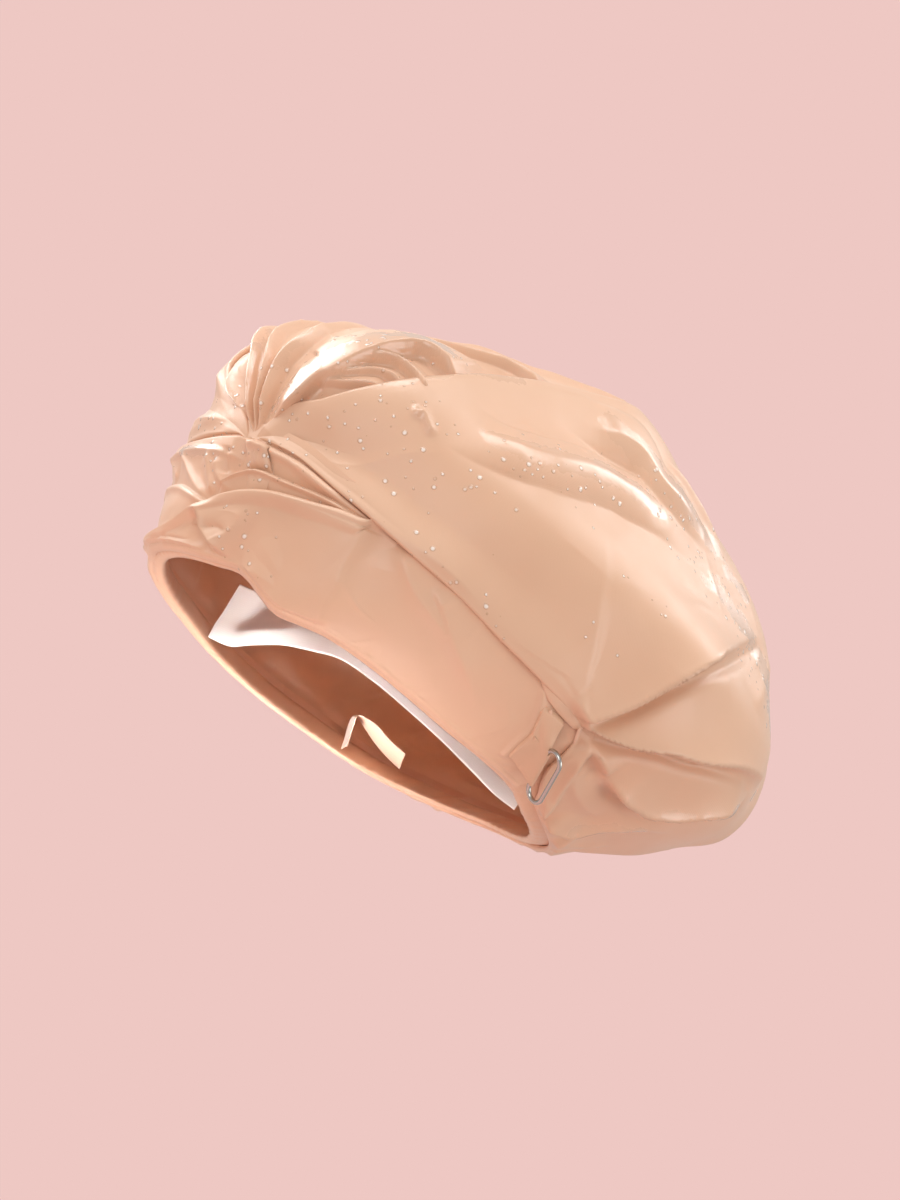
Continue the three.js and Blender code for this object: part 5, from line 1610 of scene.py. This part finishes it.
# %% Frames on the form
def skin_frame(turn, rise, lift, angle=0.0):
    """A frame on the form: x along the turn, y up the form, z outwards, turned in its plane."""
    turns = np.array([turn - 1.0, turn, turn + 1.0])
    a, b = plan_of(turns, np.full(3, rise))
    points = lifted(a, b, np.full(3, lift))
    z = form_normal(a, b)[1]
    x = points[2] - points[0]
    x = unit(x - z * (x @ z))
    y = np.cross(z, x)
    c, s = math.cos(angle), math.sin(angle)
    return points[1], x * c + y * s, y * c - x * s, z


def form_under(x, y, turn=104.0, rise=0.1):
    """How far out the draped form is below a place x, y of the ring's frame."""
    a, b = (np.full(len(x), value) for value in plan_of(np.array(turn), np.array(rise)))
    for _ in range(7):
        here = to_ring(lifted(a, b, np.zeros(len(a))))
        da = (to_ring(lifted(a + PROBE_SHARE, b, np.zeros(len(a)))) - here) / PROBE_SHARE
        db = (to_ring(lifted(a, b + PROBE_SHARE, np.zeros(len(a)))) - here) / PROBE_SHARE
        ex, ey = x - here[:, 0], y - here[:, 1]
        turned = da[:, 0] * db[:, 1] - da[:, 1] * db[:, 0]
        a = a + np.clip((ex * db[:, 1] - ey * db[:, 0]) / turned, -0.05, 0.05)
        b = b + np.clip((da[:, 0] * ey - da[:, 1] * ex) / turned, -0.05, 0.05)
    return to_ring(lifted(a, b, np.zeros(len(a))))[:, 2]


# %% The ring
bpy.ops.object.select_all(action="DESELECT")
bpy.ops.mesh.primitive_torus_add(
    major_radius=1, minor_radius=0.2, major_segments=192, minor_segments=20
)
ring = bpy.context.object
ring.name = "oblong_ring"
ring.data.name = "oblong_ring"
co = vertices_of(ring.data)
share = (np.degrees(np.arctan2(co[:, 1], co[:, 0])) % 360) / 360
wire_angle = np.arctan2(co[:, 2], np.hypot(co[:, 0], co[:, 1]) - 1)
bend = (RING_WIDTH - RING_WIRE) / 2
straight = RING_LENGTH - RING_WIDTH
whole = 2 * straight + 2 * math.pi * bend
run = share * whole
corner_run = math.pi * bend
# straight along the held bar, round one end, back along the free bar, round the other end
legs = [
    run < straight,
    (run >= straight) & (run < straight + corner_run),
    (run >= straight + corner_run) & (run < 2 * straight + corner_run),
    run >= 2 * straight + corner_run,
]
first_angle = (run - straight) / bend - math.pi / 2
last_angle = (run - 2 * straight - corner_run) / bend + math.pi / 2
centre_x = np.select(legs, [
    run - straight / 2,
    straight / 2 + bend * np.cos(first_angle),
    straight / 2 - (run - straight - corner_run),
    -straight / 2 + bend * np.cos(last_angle),
])
centre_y = np.select(legs, [
    0 * run, bend + bend * np.sin(first_angle), 2 * bend + 0 * run, bend + bend * np.sin(last_angle)
])
out_x = np.select(legs, [0 * run, np.cos(first_angle), 0 * run, np.cos(last_angle)])
out_y = np.select(legs, [-1 + 0 * run, np.sin(first_angle), 1 + 0 * run, np.sin(last_angle)])
wire_out = RING_WIRE_RADIUS * np.cos(wire_angle)
local = np.stack(
    [centre_x + out_x * wire_out, centre_y + out_y * wire_out, RING_WIRE_RADIUS * np.sin(wire_angle)],
    -1,
)
tilted = local.copy()
tilted[:, 1] = local[:, 1] * math.cos(RING_REST) - local[:, 2] * math.sin(RING_REST)
tilted[:, 2] = local[:, 1] * math.sin(RING_REST) + local[:, 2] * math.cos(RING_REST)
ring_at = from_ring(tilted)
place_vertices(ring.data, ring_at)
pick(ring)
bpy.ops.object.mode_set(mode="EDIT")
bpy.ops.mesh.select_all(action="SELECT")
bpy.ops.mesh.normals_make_consistent(inside=False)
bpy.ops.object.mode_set(mode="OBJECT")
ring.data.materials.append(steel)
bpy.ops.object.shade_smooth()
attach(ring, "ring")
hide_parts("hanging_ring")
print("ring", ring_at.min(0).round(4), ring_at.max(0).round(4), "CAD", ring_box)

# %% [markdown]
# The tab is one folded piece of the same cloth. It comes out from under the bag's edge along a
# long line, runs to the ring's bar, goes round it, and turns back underneath.

# %% The tab
TAB_LINE = [
    (95.5, 0.206), (89.5, 0.204), (92, 0.173), (95.5, 0.141), (98, 0.103), (101, 0.052),
]
TAB_HALF_AT_BAR = 8.3 * MM
TAB_BEND = RING_WIRE_RADIUS + 0.55 * MM
TAB_WALL = 0.5 * MM
# Along the tab: the share at which it reaches the bar, the share that goes round it, and the
# length that turns back underneath
TAB_TO_BAR, TAB_ROUND_BAR = 0.72, 0.16
TAB_TURN_BACK = 7 * MM


def tab_place(u, v):
    """The tab: v goes from its seam out to the bar, round the bar and back underneath."""
    turn, rise = along_path(TAB_LINE, 0.03 + 0.94 * u)
    a, b = plan_of(turn, rise)
    start = to_ring(lifted(a, b, np.zeros(len(a))))[:, :2]
    bar = np.stack([(2 * u - 1) * TAB_HALF_AT_BAR, np.zeros_like(u)], -1)
    t = np.clip(v / TAB_TO_BAR, 0, 1)
    ease = t[:, None] ** 0.85
    flat = start * (1 - ease) + bar * ease
    form = form_under(flat[:, 0], flat[:, 1])
    rises_by = smooth((t - 0.1) / 0.9) ** 1.3
    out_from_band = (-1.0 + 3.0 * smooth(t / 0.1)) * MM
    z = (form + out_from_band) * (1 - rises_by) + TAB_BEND * rises_by
    # tucks that run from the line to the bar, and the rounded side edges
    tuck = np.sin(u * 2 * math.pi * 1.7 + 1.2 * t + 0.7) * 0.4 * MM
    tuck = tuck * (1 - 0.7 * t) * smooth(t / 0.2)
    side_curl = -0.4 * MM * (smooth((0.09 - u) / 0.09) + smooth((u - 0.91) / 0.09)) * smooth(t / 0.4)
    soft = ripples(np.stack([flat[:, 0], flat[:, 1], 0 * z], -1), 8 * MM, 71) * 0.25 * MM
    z = z + tuck + side_curl + soft * (1 - t)
    # round the bar and back underneath
    past_bar = v - TAB_TO_BAR
    angle = math.pi / 2 - np.clip(past_bar / TAB_ROUND_BAR, 0, 1) * math.pi
    rest = 1 - TAB_TO_BAR - TAB_ROUND_BAR
    back_run = TAB_TURN_BACK * np.clip((past_bar - TAB_ROUND_BAR) / rest, 0, 1)
    y = flat[:, 1] + TAB_BEND * np.cos(angle) * (past_bar > 0) - back_run
    z = np.where(past_bar > 0, TAB_BEND * np.sin(angle) + 0.3 * side_curl, z)
    x = flat[:, 0] - 0.78 * back_run
    return from_ring(np.stack([x, y, z], -1))


TAB_FLAT = (0.024, 0.03)
tab = grid("ring_tab_cloth", 90, 110, tab_place, TAB_FLAT)
thicken(tab, TAB_WALL)
dress(tab, plain_nylon, ["ring_tab"], TAB_FLAT, 2)

# %% The strip that finishes the band's end
STRIP_LEFT = [(85, 0.226), (88, 0.212), (91.5, 0.204), (97, 0.2)]
STRIP_RIGHT = [(86, 0.24), (89, 0.235), (93, 0.227), (98, 0.218)]


def strip_place(u, v):
    turn_l, rise_l = along_path(STRIP_LEFT, u)
    turn_r, rise_r = along_path(STRIP_RIGHT, u)
    # across it: half under, the face, half under
    face = np.where((v > 0.25) & (v < 0.75), 1, 0)
    share = np.where(v < 0.25, 0.5 - 2 * v, np.where(v < 0.75, (v - 0.25) * 2, 1 - (v - 0.75) * 2))
    turn = turn_l + (turn_r - turn_l) * share
    rise = rise_l + (rise_r - rise_l) * share
    dome = np.clip(1 - (2 * share - 1) ** 2, 0, 1) ** 0.5
    lift = np.where(face > 0, 0.7 + 1.0 * dome, 0.7 - 0.4 * dome) * MM
    a, b = plan_of(turn, rise)
    return lifted(a, b, lift)


STRIP_FLAT = (0.02, 0.013)
strip = grid("end_strip_cloth", 60, 40, strip_place, STRIP_FLAT)
dress(strip, nylon, ["band_end_strip"], STRIP_FLAT)

# %% [markdown]
# ## Bar tacks
# Short rows of satin stitches hold the gathers, the strap's ends and the tab. They are sewn in
# matching thread and hardly show.

# %% Bar tacks
TACK_LENGTH, TACK_WIDTH = 7 * MM, 1.6 * MM


def tack(name, node, turn, rise, lift, angle):
    """One row of satin stitches on the form, turned in its plane by an angle in radians."""
    origin, x, y, z = skin_frame(turn, rise, lift, angle)

    def place(u, v):
        along_x = (u - 0.5) * TACK_LENGTH
        across = 2 * v - 1
        end = np.sqrt(np.clip(1 - (2 * u - 1) ** 6, 0.02, 1))
        dome = np.sqrt(np.clip(1 - across**2, 0, 1))
        ridge = 0.06 * MM * np.sin(u * 2 * math.pi * 14 + across)
        height = (0.42 * MM + ridge) * dome * end - 0.1 * MM
        return (
            origin
            + along_x[:, None] * x
            + (across * TACK_WIDTH / 2 * end)[:, None] * y
            + height[:, None] * z
        )

    made = grid(name, 84, 10, place, (TACK_LENGTH, TACK_WIDTH))
    thicken(made, 0.12 * MM)
    dress(made, yarn, [node])


tack("gather_stitches_left", "gather_tack_left", 98.5, 0.199, 3.0 * MM, -0.94)
tack("gather_stitches_right", "gather_tack_right", -98.5, 0.199, 3.0 * MM, 0.94)
tack("strap_stitches_lower", "loop_tack_lower", 20.8, 0.2, 2.2 * MM, 0)
tack("strap_stitches_upper", "loop_tack_upper", 14.6, 0.304, 2.0 * MM, 0)
tack("tab_stitches", "tab_tack", 93, 0.186, 1.6 * MM, -0.94)

left = [name for name, thing in frame["nodes"].items() if not thing.hide_render]
print("CAD nodes still showing", left)
